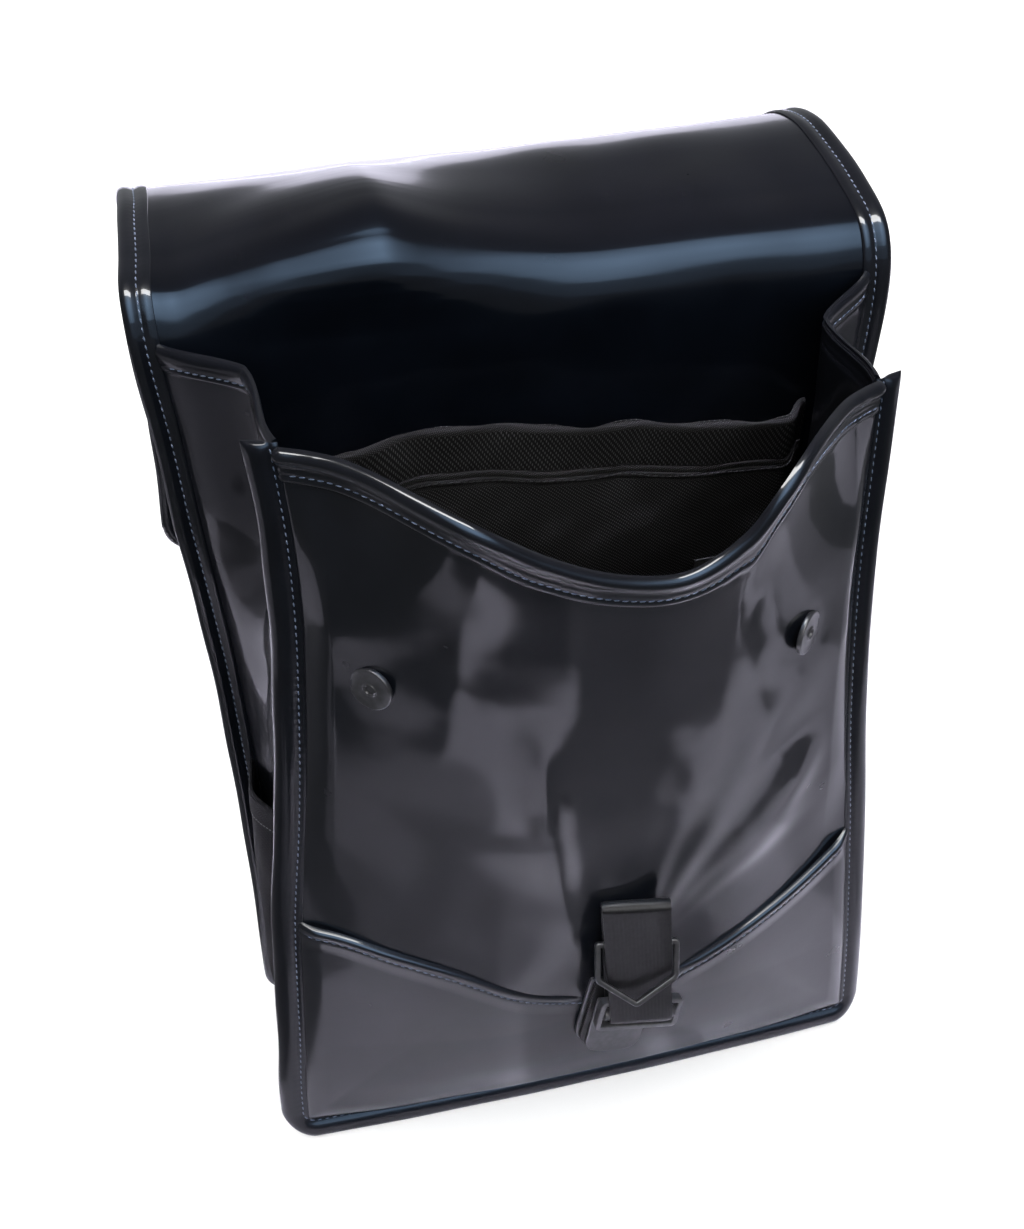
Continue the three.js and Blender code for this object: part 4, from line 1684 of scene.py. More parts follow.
@dataclass
class Gussets:
    """The two sides, which fold inwards at the top, and their pockets."""

    finishes: Finishes
    columns: int = 90
    rows: int = 100
    wall: float = 1.3
    stitch: float = 8.0
    stitch_trim: int = 2
    seam_calm: float = 0.14
    hem_calm: float = 45.0
    fold_from: float = 130.0
    fold_full: float = 340.0
    rounding: float = 0.6
    wave_depth: float = 90.0
    right_wave_shift: float = 200.0
    dents: tuple[Dent, ...] = (
        Dent(0.62, 236.0, 0.16, 16.0, 2.2),
        Dent(0.45, 268.0, 0.2, 20.0, -1.6),
    )
    pocket_columns: int = 70
    pocket_rows: int = 70
    pocket_margin: float = 0.02
    pocket_wall: float = 1.2
    pocket_low: float = 24.0
    pocket_top: Pair = (181.0, 150.0)
    pocket_room: float = 8.0
    pocket_full: float = 0.35
    pocket_calm: float = 0.15
    pocket_hem_floor: float = -0.4
    pocket_stitch_row: int = 3
    pocket_stitch_trim: int = 1
    fold_depth: ClassVar[dict[Side, float]] = {Side.LEFT: 18.5, Side.RIGHT: 19.0}
    fold_along: ClassVar[dict[Side, float]] = {Side.LEFT: 0.68, Side.RIGHT: 0.6}
    waves: Ripples = Ripples(60.0, 0.9, 31)
    pocket_waves: Ripples = Ripples(50.0, 0.5, 37)

    def fold(self, side: Side, share: Array, z: Array) -> Array:
        """Inward fold of one side.

        Args:
            side: Which side.
            share: Shares of the way from front to back.
            z: Heights.

        Returns:
            How far it folds into the bag.
        """
        along = self.fold_along[side]
        peak = np.where(share < along, share / along, (1 - share) / (1 - along))
        eased = peak * peak * (3 - 2 * peak)
        grown = smoothstep(z, self.fold_from, self.fold_full)
        return self.fold_depth[side] * lerp(peak, eased, self.rounding) * grown

    def spot(self, side: Side, share: Array, v: Array, inwards: Array) -> Array:
        """Points of one side, from the front seam to the back seam.

        Args:
            side: Which side.
            share: Share of the way from front to back.
            v: Share of the way up.
            inwards: Distance moved into the bag.

        Returns:
            Points of shape (..., 3).
        """
        share, v, inwards = np.broadcast_arrays(share, v, inwards)
        low = BINDING + CORNER
        z_front = lerp(low, FRONT.top[side], v)
        z_back = lerp(low, BACK.top, v)
        x_front = FRONT.edge(side, z_front)
        along = BACK.along(z_back)
        x_back = BACK.edge(side, along)
        front = np.stack([x_front, FRONT.edge_y(x_front, z_front) + SEAM_CLEARANCE, z_front], axis=-1)
        back = BACK.point(x_back, along)
        back[..., 1] -= SEAM_CLEARANCE
        points = lerp(front, back, share[..., None])
        inner = self.fold(side, share, points[..., 2]) + inwards
        points[..., 0] -= side.value * inner
        return points

    def across(self, side: Side, count: int, margin: float) -> Array:
        """Shares of the depth, in the order that faces the sheet outwards."""
        shares = np.linspace(margin, 1 - margin, count)
        return (shares[::-1] if side is Side.LEFT else shares)[None, :]

    def build(self) -> None:
        """Makes both sides and both pockets."""
        for side in Side:
            self.side_panel(side)
            self.pocket(side)

    def side_panel(self, side: Side) -> None:
        """Makes one side with its hemmed top.

        Args:
            side: Which side.
        """
        share = self.across(side, self.columns, 0.0)
        height = FRONT.top[side] - BINDING - CORNER
        drops = hem_drops(GUSSET_HEM)[::-1]
        low = np.linspace(0.0, 1 - drops[0] / height, self.rows, endpoint=False)
        v = np.concatenate([low, 1 - drops / height])[:, None]
        drop = (1 - v) * height
        seams = smoothstep(np.minimum(share, 1 - share), 0.0, self.seam_calm)
        z = BINDING + CORNER + v * height
        shift = self.right_wave_shift * (side is Side.RIGHT)
        waves = self.waves.at(share * self.wave_depth + shift, z)
        star = sum(dent.at(share, z) for dent in self.dents)
        dents = (waves + star) * seams * smoothstep(drop, 0.0, self.hem_calm)
        plain = Patch(self.spot(side, share, v, WALL / 2)).lifted(WALL / 2 + dents)
        hem = hem_lift(GUSSET_HEM, np.broadcast_to(drop, dents.shape))
        patch = plain.lifted(hem)
        piece = patch.wall(f"gusset_{side.word}_cloth", self.wall + np.maximum(hem, HEM_FLOOR))
        dress(piece, self.finishes.side_cloth, Slot.COATED, f"gusset_{side.word}")
        sewn = Sewing().hem(
            f"gusset_{side.word}_stitches", patch, row_at(drop, self.stitch), self.stitch_trim,
            self.finishes.thread, Slot.COATED,
        )
        patch.flat_size()

    def pocket(self, side: Side) -> None:
        """Makes a slip pocket of nylon low on one side, with a hem along its slanting mouth.

        Args:
            side: Which side.
        """
        share = self.across(side, self.pocket_columns, self.pocket_margin)
        mouth = lerp(self.pocket_top[0], self.pocket_top[1], share)
        drops, lifts = (POCKET_HEM.column(name)[::-1] for name in ("drop", "lift"))
        low = np.linspace(0.0, 1.0, self.pocket_rows, endpoint=False)[:, None]
        body = lerp(self.pocket_low, mouth - drops[0], low)
        z = np.vstack([body, mouth - drops[:, None]])
        v_up = (z - self.pocket_low) / (mouth - self.pocket_low)
        puff = self.pocket_room * np.sin(np.pi * share) * smoothstep(v_up, 0.0, self.pocket_full)
        outwards = GAP + self.pocket_wall / 2 + puff
        height = FRONT.top[side] - BINDING - CORNER
        plain = Patch(self.spot(side, share, (z - BINDING - CORNER) / height, -outwards))
        calm = smoothstep(np.minimum(share, 1 - share), 0.0, self.pocket_calm)
        lift = self.pocket_wall / 2 + self.pocket_waves.at(share * self.wave_depth, z) * calm
        hem = np.concatenate([np.zeros(len(body)), lifts])[:, None]
        patch = plain.lifted(lift).lifted(np.broadcast_to(hem, z.shape))
        thickness = self.pocket_wall + np.maximum(hem, self.pocket_hem_floor)
        piece = patch.wall(f"side_pocket_{side.word}_cloth", thickness)
        # The pocket gets the darker copy of the nylon, as painted shade.
        dress(piece, self.finishes.pocket_nylon, Slot.NYLON, f"side_pocket_{side.word}")
        sewn = Sewing(pitch=3.0, width=0.45, height=0.45).hem(
            f"side_pocket_{side.word}_stitches", patch, len(body) + self.pocket_stitch_row,
            self.pocket_stitch_trim, self.finishes.dark_thread, Slot.NYLON,
        )
        patch.flat_size()


@dataclass
class BasePanel:
    """The bottom, flat on the floor and rising to the bound edges."""

    finishes: Finishes
    columns: int = 120
    rows: int = 60
    flat_share: float = 0.5
    turn_share: float = 0.1
    turn_from: float = 16.0
    drop_share: float = 0.18

    def build(self) -> None:
        """Makes the bottom."""
        u = np.linspace(0.0, 1.0, self.columns)[None, :]
        v = np.linspace(1.0, 0.0, self.rows)[:, None]
        turn = np.clip(np.minimum(u, 1 - u) / self.turn_share, 0.0, 1.0)
        angle = np.radians(lerp(self.turn_from, 90.0, turn))
        bend = CORNER - WALL / 2
        middle = np.clip((u - self.turn_share) / (1 - 2 * self.turn_share), 0.0, 1.0)
        left = lerp(FRONT.left(BINDING), BACK.left(0.0), v) + CORNER
        right = lerp(FRONT.right(BINDING), BACK.right(0.0), v) - CORNER
        x = lerp(left, right, middle) + np.where(u < 0.5, -1.0, 1.0) * bend * np.cos(angle)
        back = float(BACK.rows.column("y")[0]) - SEAM_CLEARANCE
        y = lerp(FRONT.edge_y(x, np.full_like(x, BINDING)) + SEAM_CLEARANCE, back, v)
        edge = np.clip((np.abs(2 * v - 1) - self.flat_share) / (1 - self.flat_share), 0.0, 1.0)
        rise = smoothstep(edge, 0.0, 1.0)
        drop = smoothstep(np.minimum(middle, 1 - middle), 0.0, self.drop_share) * (1 - rise)
        z = BINDING + CORNER - bend * np.sin(angle) - BINDING * drop
        patch = Patch(np.stack(np.broadcast_arrays(x, y, z), axis=-1)).lifted(np.full(x.shape, WALL / 2))
        piece = patch.wall("base_cloth", WALL)
        dress(piece, self.finishes.cloth, Slot.COATED, "base_panel")
        patch.flat_size()


# Inside


@dataclass
class Sleeve:
    """The nylon pocket inside the back, with a deep hem, and its plain label."""

    finishes: Finishes
    columns: int = 150
    rows: int = 110
    wall: float = 3.0
    low: float = 26.0
    left: float = -112.0
    right: float = 117.0
    room: float = 17.0
    edge: float = 15.0
    edge_calm: float = 25.0
    foot: float = 110.0
    cloth: float = 1.6
    hem_floor: float = -1.0
    rim_waves: float = 0.8
    stitch: float = 25.6
    stitch_trim: int = 3
    pucker: float = 2.6
    pucker_pace: float = 7.0
    pucker_lean: float = 0.55
    pucker_x: float = -66.0
    pucker_width: float = 22.0
    pucker_from: Pair = (250.0, 300.0)
    label_columns: int = 30
    label_rows: int = 40
    label_bow: float = 0.6
    label_curl: float = 0.5
    label_curl_reach: float = 8.0
    label_box: Four = (68.0, 91.0, 198.0, 236.0)
    label_wall: float = 1.0
    label_off: float = 0.5
    rim: Table = Table("x z", (-112, 303), (-80, 313), (-42, 318), (20, 311), (117, 302))
    waves: Ripples = Ripples(70.0, 1.6, 41)
    small_waves: Ripples = Ripples(24.0, 0.35, 43)

    def spot(self, x: Array, z: Array, forward: Array) -> Array:
        """Points of the sleeve's middle.

        Args:
            x: Places across the bag.
            z: Heights.
            forward: Distances moved towards the front.

        Returns:
            Points of shape (..., 3).
        """
        sides = smoothstep(np.minimum(x - self.left, self.right - x), 0.0, self.edge)
        room = self.room * sides * smoothstep(z, self.low, self.low + self.foot)
        points = BACK.point(x, BACK.along(z))
        points[..., 1] -= WALL / 2 + GAP + self.wall / 2 + room + forward
        points[..., 2] = z
        return points

    def build(self) -> None:
        """Makes the sleeve, its stitches and its label."""
        x = np.linspace(self.left, self.right, self.columns)[None, :]
        drops = hem_drops(SLEEVE_HEM)[::-1, None]
        top = self.rim.read(x, "z") + self.rim_waves * self.small_waves.at(x, np.zeros_like(x))
        body = lerp(self.low, top - drops[0], np.linspace(0.0, 1.0, self.rows, endpoint=False)[:, None])
        z = np.vstack([body, top - drops])
        x = np.broadcast_to(x, z.shape)
        drop = self.rim.read(x, "z") - z
        calm = smoothstep(np.minimum(x - self.left, self.right - x), 0.0, self.edge_calm)
        folds = (self.waves.at(x, z) + self.small_waves.at(x, z)) * calm
        pucker = self.pucker * np.sin((x + self.pucker_lean * z) / self.pucker_pace)
        pucker = pucker * bell(x - self.pucker_x, self.pucker_width) * smoothstep(z, *self.pucker_from)
        plain = Patch(self.spot(x, z, folds + pucker * calm)).lifted(np.full(z.shape, self.wall / 2))
        hem = hem_lift(SLEEVE_HEM, drop)
        patch = plain.lifted(hem)
        piece = patch.wall("inner_sleeve_cloth", self.cloth + np.maximum(hem, self.hem_floor))
        dress(piece, self.finishes.nylon, Slot.NYLON, "inner_sleeve")
        sewn = Sewing(pitch=3.0, width=0.5, height=0.5).hem(
            "sleeve_stitches", patch, row_at(drop, self.stitch, self.columns // 2),
            self.stitch_trim, self.finishes.dark_thread, Slot.NYLON,
        )
        patch.flat_size()
        self.label()

    def label(self) -> None:
        """A blank woven label on the sleeve."""
        left, right, low, high = self.label_box
        x = np.linspace(left, right, self.label_columns)[None, :]
        z = np.linspace(low, high, self.label_rows)[:, None]
        x, z = np.broadcast_arrays(x, z)
        forward = self.wall / 2 + self.label_off + self.label_wall / 2
        bow = self.label_bow * np.sin((z - low) / (high - low) * math.pi)
        curl = bow + self.label_curl * smoothstep(z, high - self.label_curl_reach, high)
        patch = Patch(self.spot(x, z, forward + curl)).lifted(np.full(z.shape, self.label_wall / 2))
        piece = patch.wall("inner_label_cloth", self.label_wall)
        dress(piece, self.finishes.label, Slot.LABEL, "inner_label")
        patch.flat_size()


# Shoulder straps


@dataclass
class ShoulderStrap:
    """A padded strap on the back, sewn down at both ends."""

    side: Side
    finishes: Finishes
    width: float = 46.0
    thick: float = 5.0
    steps: int = 150
    stitch_across: float = 0.87
    stitch_top: float = 0.9
    stitch_foot: float = 0.1
    path: Table = Table(
        "along out side z",
        (0, 0, 42, 322), (0.2, 16, 46, 272), (0.5, 26, 58, 186), (0.8, 14, 76, 96), (1, 0, 88, 44),
    )
    section: Table = Table(
        "across low high",
        (-1.0, 0.35, 0.65), (-0.97, 0.2, 0.8), (-0.9, 0.12, 0.88), (-0.84, 0.16, 0.84),
        (-0.78, 0.06, 0.94), (-0.5, 0.0, 1.0), (0.0, 0.0, 1.0), (0.5, 0.0, 1.0), (0.78, 0.06, 0.94),
        (0.84, 0.16, 0.84), (0.9, 0.12, 0.88), (0.97, 0.2, 0.8), (1.0, 0.35, 0.65),
    )

    def build(self) -> None:
        """Makes the strap and its edge stitches."""
        t = np.linspace(0.0, 1.0, self.steps)[:, None]
        x = self.side.value * self.path.read(t, "side")
        z = self.path.read(t, "z")
        out = WALL / 2 + 2 * GAP + self.path.read(t, "out")
        across = self.section.column("across")
        loop_x = np.concatenate([across, across[::-1]])[None, :]
        loop_y = np.concatenate([self.section.column("low"), self.section.column("high")[::-1]])[None, :]
        rings = self.spots(x, z, out, loop_x, loop_y)
        piece = tube(f"strap_{self.side.word}_padding", rings, False)
        dress(piece, self.finishes.nylon, Slot.NYLON, f"shoulder_strap_{self.side.word}")
        for word, edge in (("inner", -self.stitch_across), ("outer", self.stitch_across)):
            line = self.spots(x, z, out, np.array([[edge]]), np.array([[self.stitch_top]]))[:, 0]
            under = self.spots(x, z, out, np.array([[edge]]), np.array([[self.stitch_foot]]))[:, 0]
            Sewing(pitch=3.6, width=0.5, height=0.6).row(
                f"strap_{self.side.word}_{word}_stitches", line, unit(line - under),
                self.finishes.dark_thread, Slot.NYLON,
            )

    def spots(self, x: Array, z: Array, out: Array, across: Array, high: Array) -> Array:
        """Points of the strap's section at its stops.

        Args:
            x: Middle of the strap across the bag, at each stop.
            z: Height of each stop.
            out: Distance off the back, at each stop.
            across: Places across the strap, from -1 to 1.
            high: Shares of the strap's thickness.

        Returns:
            Points of shape (stops, section, 3).
        """
        spread = x + across * self.width / 2
        points = BACK.point(spread, np.broadcast_to(BACK.along(z), spread.shape))
        points[..., 1] += out + high * self.thick
        points[..., 2] = np.broadcast_to(z, spread.shape)
        return points


# Hard pieces

BEVEL_STEPS = 3
SHARP_EDGE = 50.0
SMOOTH_EDGE = 35.0


@dataclass
class Snaps:
    """The two round magnetic snaps on the front."""

    finishes: Finishes
    radius: float = 9.0
    neck: float = 6.0
    neck_high: float = 0.5
    high: float = 2.6
    steps: int = 64
    spots = {"left": (-84.0, 260.0), "right": (79.0, 254.0)}

    def profile(self) -> Array:
        """Rings of a snap, from its foot to the hollow in its top.

        Returns:
            Radius and height of each ring.
        """
        r, h = self.radius, self.high
        return np.array(
            [
                (self.neck, 0.0),
                (self.neck, self.neck_high),
                (r - 0.35, self.neck_high),
                (r - 0.1, self.neck_high + 0.12),
                (r, self.neck_high + 0.4),
                (r, h - 0.45),
                (r - 0.12, h - 0.15),
                (r - 0.4, h),
                (r - 0.9, h),
                (r - 1.15, h - 0.12),
                (3.3, h - 0.12),
                (3.0, h - 0.05),
                (2.75, h + 0.3),
                (2.5, h + 0.45),
                (2.1, h + 0.4),
                (1.85, h + 0.1),
                (1.7, h - 0.55),
            ]
        )

    def build(self) -> None:
        """Makes both snaps."""
        for word, (x, z) in self.spots.items():
            piece = turned(f"snap_{word}_disc", self.profile(), self.steps)
            normal = FRONT.normal(x, z)
            lift = WALL / 2 + 2 * GAP + float(FRONT.fuller(x, z))
            foot = Vector((x, float(FRONT.y(x, z)), z)) + normal * lift
            turn = Vector((0.0, 0.0, 1.0)).rotation_difference(normal).to_matrix().to_4x4()
            piece.data.transform(Matrix.Translation(foot * MM) @ turn)
            shade(piece, 50.0)
            dress(piece, self.finishes.metal, Slot.METAL, f"snap_{word}")


def turned(name: str, profile: Array, steps: int) -> Piece:
    """A turned piece, drawn up ring by ring from a disc.

    Args:
        name: Name of the new object.
        profile: Radius and height of each ring from the foot up, in millimetres.
        steps: Points of a ring.

    Returns:
        The closed piece, with its axis along Z.
    """
    deselect()
    bpy.ops.mesh.primitive_circle_add(vertices=steps, radius=profile[0][0] * MM, fill_type="NGON")
    piece = named(name)
    select_only(piece)
    bpy.ops.object.mode_set(mode="EDIT")
    bpy.ops.mesh.select_all(action="SELECT")
    for (radius, high), (next_radius, next_high) in zip(profile[:-1], profile[1:]):
        rise = (0.0, 0.0, (next_high - high) * MM)
        grow = next_radius / radius
        bpy.ops.mesh.extrude_region_move(TRANSFORM_OT_translate={"value": rise})
        bpy.ops.transform.resize(value=(grow, grow, 1.0))
    bpy.ops.mesh.select_all(action="SELECT")
    face_outwards()
    bpy.ops.object.mode_set(mode="OBJECT")
    return piece


def rounded(corners: Sequence[Sequence[float]], radius: float, steps: int = 6) -> Array:
    """Closed outline with rounded corners.

    Args:
        corners: Corner points (x, z), in order.
        radius: Radius of the rounding, along the sides.
        steps: Points on each rounding.

    Returns:
        Points of shape (count, 2).
    """
    points = []
    corners = [np.array(c, float) for c in corners]
    for i, corner in enumerate(corners):
        before = corners[i - 1] - corner
        after = corners[(i + 1) % len(corners)] - corner
        start = corner + before / np.linalg.norm(before) * radius
        end = corner + after / np.linalg.norm(after) * radius
        for t in np.linspace(0.0, 1.0, steps):
            points.append((1 - t) ** 2 * start + 2 * t * (1 - t) * corner + t**2 * end)
    return np.array(points)


def sweep(name: str, outline: Array, width: float, depth: float, bevel: float) -> Piece:
    """A closed wire of rounded rectangular section along an outline in the XZ plane.

    Args:
        name: Name of the new object.
        outline: Middle line of the wire's outer face, of shape (count, 2).
        width: Width of the wire, inwards from the outline.
        depth: Depth of the wire, centred on the plane.
        bevel: Rounding of its edges.

    Returns:
        The wire.
    """
    ahead = unit(np.roll(outline, -1, axis=0) - np.roll(outline, 1, axis=0))
    inward = np.column_stack([-ahead[:, 1], ahead[:, 0]])
    half = depth / 2
    section = rounded(((0, -half), (width, -half), (width, half), (0, half)), bevel, 4)
    spots = outline[:, None, :] + inward[:, None, :] * section[None, :, :1]
    y = np.broadcast_to(section[None, :, 1], spots.shape[:2])
    return tube(name, np.stack([spots[..., 0], y, spots[..., 1]], axis=-1), True)


def plate(name: str, outline: Array, thick: float, bevel: float) -> Piece:
    """A flat plate with rounded edges, from the XZ plane towards the front.

    Args:
        name: Name of the new object.
        outline: Points of shape (count, 2), anticlockwise seen from the front.
        thick: Thickness.
        bevel: Rounding of its edges.

    Returns:
        The plate.
    """
    deselect()
    bpy.ops.mesh.primitive_circle_add(vertices=len(outline), fill_type="NGON")
    piece = named(name)
    points = np.column_stack([outline[:, 0], np.zeros(len(outline)), outline[:, 1]]) * MM
    piece.data.vertices.foreach_set("co", points.reshape(-1))
    piece.data.update()

    def thicken() -> None:
        """Draws the plate's face out to its thickness."""
        bpy.ops.mesh.extrude_region_move(TRANSFORM_OT_translate={"value": (0.0, -thick * MM, 0.0)})
        bpy.ops.mesh.select_all(action="SELECT")
        face_outwards()

    in_edit_mode(piece, thicken)
    soften(piece, bevel)
    return piece


def soften(piece: Piece, bevel: float) -> None:
    """Rounds the sharp edges of a hard piece, and smooths its shading.

    Args:
        piece: The piece.
        bevel: Width of the rounding.
    """
    edge = piece.modifiers.new("edge", "BEVEL")
    edge.width = bevel * MM
    edge.segments = BEVEL_STEPS
    edge.limit_method = "ANGLE"
    edge.angle_limit = math.radians(SHARP_EDGE)
    apply_modifiers(piece)
    shade(piece, SMOOTH_EDGE)


@dataclass(frozen=True)
class Leaf:
    """One layer of the buckle's tab: its place about the bar's foot, its height and its thickness."""

    name: str
    node: str
    x: float
    z: float
    high: float
    thick: float
    bevel: float = 0.35


@dataclass
class Buckle:
    """The layered tab with its bracket and bar, the tape round the bar and the pointed ring."""

    finishes: Finishes
    x: float = 17.0
    z: float = 69.0
    roll: float = -12.0
    tab_width: float = 26.0
    tab_round: float = 9.0
    tab_corner: float = 1.2
    tab_steps: int = 10
    back_leaf: Leaf = Leaf("tab_back_leaf", "tab_back_plate", -9.0, -26.0, 38.0, 1.8)
    web_leaf: Leaf = Leaf("tab_webbing_layer", "tab_webbing", -7.5, -26.5, 38.0, 2.2, 0.3)
    front_leaf: Leaf = Leaf("tab_front_leaf", "tab_front_plate", -5.0, -29.0, 33.0, 1.5)
    web_step: float = 0.45
    web_rib: float = 0.25
    web_rib_steps: float = 3.0
    bracket_size: Pair = (38.4, 17.0)
    bracket_round: float = 3.2
    stand_sunk: float = 1.0
    stand_round: float = 0.5
    stand_bevel: float = 0.3
    wire_bevel: float = 0.6
    bracket_rail: float = 2.4
    bracket_foot: float = 2.1
    bracket_deep: float = 4.4
    bar_radius: float = 2.6
    bar_bevel: float = 0.4
    bar_steps: int = 40
    bar_forward: float = 4.9
    tape_width: float = 28.8
    tape_wall: float = 1.4
    tape_top: Pair = (15.0, 129.0)
    tape_top_radius: float = 2.9
    tape_yaw: float = 11.0
    tape_forward: float = 8.4
    tape_steps: int = 40
    tape_columns: int = 14
    tape_rim: float = 0.98
    tape_rim_wall: float = 0.55
    ring_width: float = 36.5
    ring_high: float = 30.0
    ring_wire: float = 2.4
    ring_deep: float = 3.0
    ring_top: float = 4.0
    ring_point: float = 12.5
    ring_round: float = 2.2
    ring_lean: float = 22.0
    ring_at: float = 0.66

    def __post_init__(self) -> None:
        """Works out the seat of the tab and the place of the bar."""
        normal = FRONT.normal(self.x, self.z)
        spot = Vector((self.x, float(FRONT.y(self.x, self.z)), self.z)) + normal * (WALL / 2 + GAP)
        lean = Matrix.Rotation(math.asin(-normal.z), 4, "X")
        roll = Matrix.Rotation(math.radians(-self.roll), 4, "Y")
        self.seat = Matrix.Translation(spot) @ lean @ roll
        self.lift = GAP

    def place(self, piece: Piece, forward: float) -> None:
        """Moves a mesh made about the bar's foot to its place on the bag.

        Args:
            piece: The mesh.
            forward: Its distance off the front.
        """
        matrix = self.seat @ Matrix.Translation((0.0, -forward, 0.0))
        matrix.translation = matrix.translation * MM
        piece.data.transform(matrix)

    def build(self) -> None:
        """Makes all its pieces."""
        self.layer(self.back_leaf, self.outline(self.back_leaf), self.finishes.metal, Slot.METAL)
        self.layer(self.web_leaf, self.ribbed(self.web_leaf), self.finishes.tape, Slot.TAPE)
        self.layer(self.front_leaf, self.outline(self.front_leaf), self.finishes.metal, Slot.METAL)
        self.bracket()
        self.bar()
        self.tape()
        self.ring()

    def outline(self, leaf: Leaf) -> Array:
        """Outline of a layer with a straight top and a rounded foot.

        Args:
            leaf: The layer.

        Returns:
            Points of shape (count, 2).
        """
        half, count = self.tab_width / 2, self.tab_steps
        left, right, top = leaf.x - half, leaf.x + half, leaf.z + leaf.high
        corners = ((left, top), (left, leaf.z), (right, leaf.z), (right, top))
        points = []
        for i, radius in enumerate((self.tab_corner, self.tab_round, self.tab_round, self.tab_corner)):
            points.extend(rounded(corners, radius, count)[i * count : i * count + count])
        return np.array(points)

    def ribbed(self, leaf: Leaf) -> Array:
        """Outline of a woven layer, with ribs round its edge.

        Args:
            leaf: The layer.

        Returns:
            Points of shape (count, 2).
        """
        outline = self.outline(leaf)
        closed = np.vstack([outline, outline[:1]])
        along = travelled(closed)
        fine = read_along(np.arange(0.0, along[-1], self.web_step), along, closed)
        ahead = unit(np.roll(fine, -1, axis=0) - np.roll(fine, 1, axis=0))
        out = np.column_stack([ahead[:, 1], -ahead[:, 0]])
        ribs = self.web_rib * np.sin(np.arange(len(fine)) * math.tau / self.web_rib_steps)
        return fine + out * ribs[:, None]

    def layer(self, leaf: Leaf, outline: Array, material: Material, slot: Slot) -> None:
        """Makes one layer of the tab, on top of the layers before it.

        Args:
            leaf: The layer.
            outline: Its outline.
            material: Its finish.
            slot: The record's slot that the finish belongs to.
        """
        piece = plate(leaf.name, outline, leaf.thick, leaf.bevel)
        self.place(piece, self.lift)
        dress(piece, material, slot, leaf.node)
        self.lift += leaf.thick + GAP

    def bracket(self) -> None:
        """The rectangular frame that holds the bar, on its foot."""
        half, tall = self.bracket_size[0] / 2, self.bracket_size[1] / 2
        frame_corners = ((-half, -tall), (half, -tall), (half, tall), (-half, tall))
        outline = rounded(frame_corners, self.bracket_round, 8)
        piece = sweep("bracket_frame", outline, self.bracket_rail, self.bracket_deep, self.wire_bevel)
        forward = self.bracket_foot + self.bracket_deep / 2
        piece.data.transform(Matrix.Translation((0.0, -forward * MM, 0.0)))
        foot, top = half / 2, -tall + self.bracket_rail
        base = rounded(((-foot, -tall), (foot, -tall), (foot, top), (-foot, top)), self.stand_round, 3)
        stand = plate("bracket_stand", base, self.bracket_foot + self.stand_sunk, self.stand_bevel)
        select_only(piece)
        stand.select_set(True)
        bpy.ops.object.join()
        self.place(piece, self.lift)
        dress(piece, self.finishes.metal, Slot.METAL, "buckle_bracket")

    def bar(self) -> None:
        """The round bar in the frame."""
        length = self.bracket_size[0] - 2 * self.bracket_rail - 2 * GAP
        deselect()
        bpy.ops.mesh.primitive_cylinder_add(
            vertices=self.bar_steps, radius=self.bar_radius * MM, depth=length * MM,
            rotation=(0.0, math.pi / 2, 0.0),
        )
        piece = bpy.context.active_object
        piece.name = "bracket_bar"
        bpy.ops.object.transform_apply(location=True, rotation=True, scale=True)
        soften(piece, self.bar_bevel)
        self.place(piece, self.lift + self.bar_forward)
        dress(piece, self.finishes.metal, Slot.METAL, "buckle_bar")

    def tape_frame(self, share: float) -> tuple[Vector, Vector, Vector, Vector]:
        """Frame of the tape at a share of its height.

        Args:
            share: Share of the way up from the bar.

        Returns:
            Its middle, and the directions across, up and forward.
        """
        start = self.seat @ Vector((0.0, -(self.lift + self.bar_forward), 0.0))
        along_bar = (self.seat.to_3x3() @ Vector((1.0, 0.0, 0.0))).normalized()
        x, z = self.tape_top
        top = Vector((x, float(FRONT.y(x, z)) - self.tape_forward, z))
        yaw = math.radians(self.tape_yaw)
        along_top = Vector((math.cos(yaw), -math.sin(yaw), 0.0))
        middle = start.lerp(top, share)
        across = along_bar.lerp(along_top, share).normalized()
        rise = top - start
        up = (rise - across * rise.dot(across)).normalized()
        return middle, across, up, across.cross(up)

    def tape_ring(self, share: float, degrees: float) -> Array:
        """Section of the tape where it leaves its middle line at an angle.

        Args:
            share: Share of the way up from the bar.
            degrees: The angle, from the front round the top.

        Returns:
            Points of shape (count, 3).
        """
        middle, across, up, forward = (np.array(v) for v in self.tape_frame(share))
        foot = self.bar_radius + GAP + self.tape_wall / 2
        radius = lerp(foot, self.tape_top_radius, share)
        turn = math.radians(degrees)
        way = forward * math.cos(turn) + up * math.sin(turn)
        half = self.tape_width / 2
        thin = self.tape_wall / 2
        even = np.linspace(-1.0, 1.0, self.tape_columns)
        face = np.concatenate([even, even[::-1]])
        rim = np.where(np.abs(face) > self.tape_rim, self.tape_rim_wall, 1.0)
        depth = np.repeat([-thin, thin], self.tape_columns) * rim
        return middle + way * (radius + depth[:, None]) + across * (face * half)[:, None]

    def tape(self) -> None:
        """The stiff tape that runs round the bar and stands up from it."""
        n = self.tape_steps
        rings = [self.tape_ring(i / n, 0.0) for i in range(n)]
        rings += [self.tape_ring(1.0, 180.0 * i / n) for i in range(n)]
        rings += [self.tape_ring(1.0 - i / n, 180.0) for i in range(n)]
        rings += [self.tape_ring(0.0, 180.0 + 180.0 * i / n) for i in range(n)]
        piece = tube("tape_round_bar", np.array(rings), True)
        dress(piece, self.finishes.tape, Slot.TAPE, "tape_loop")

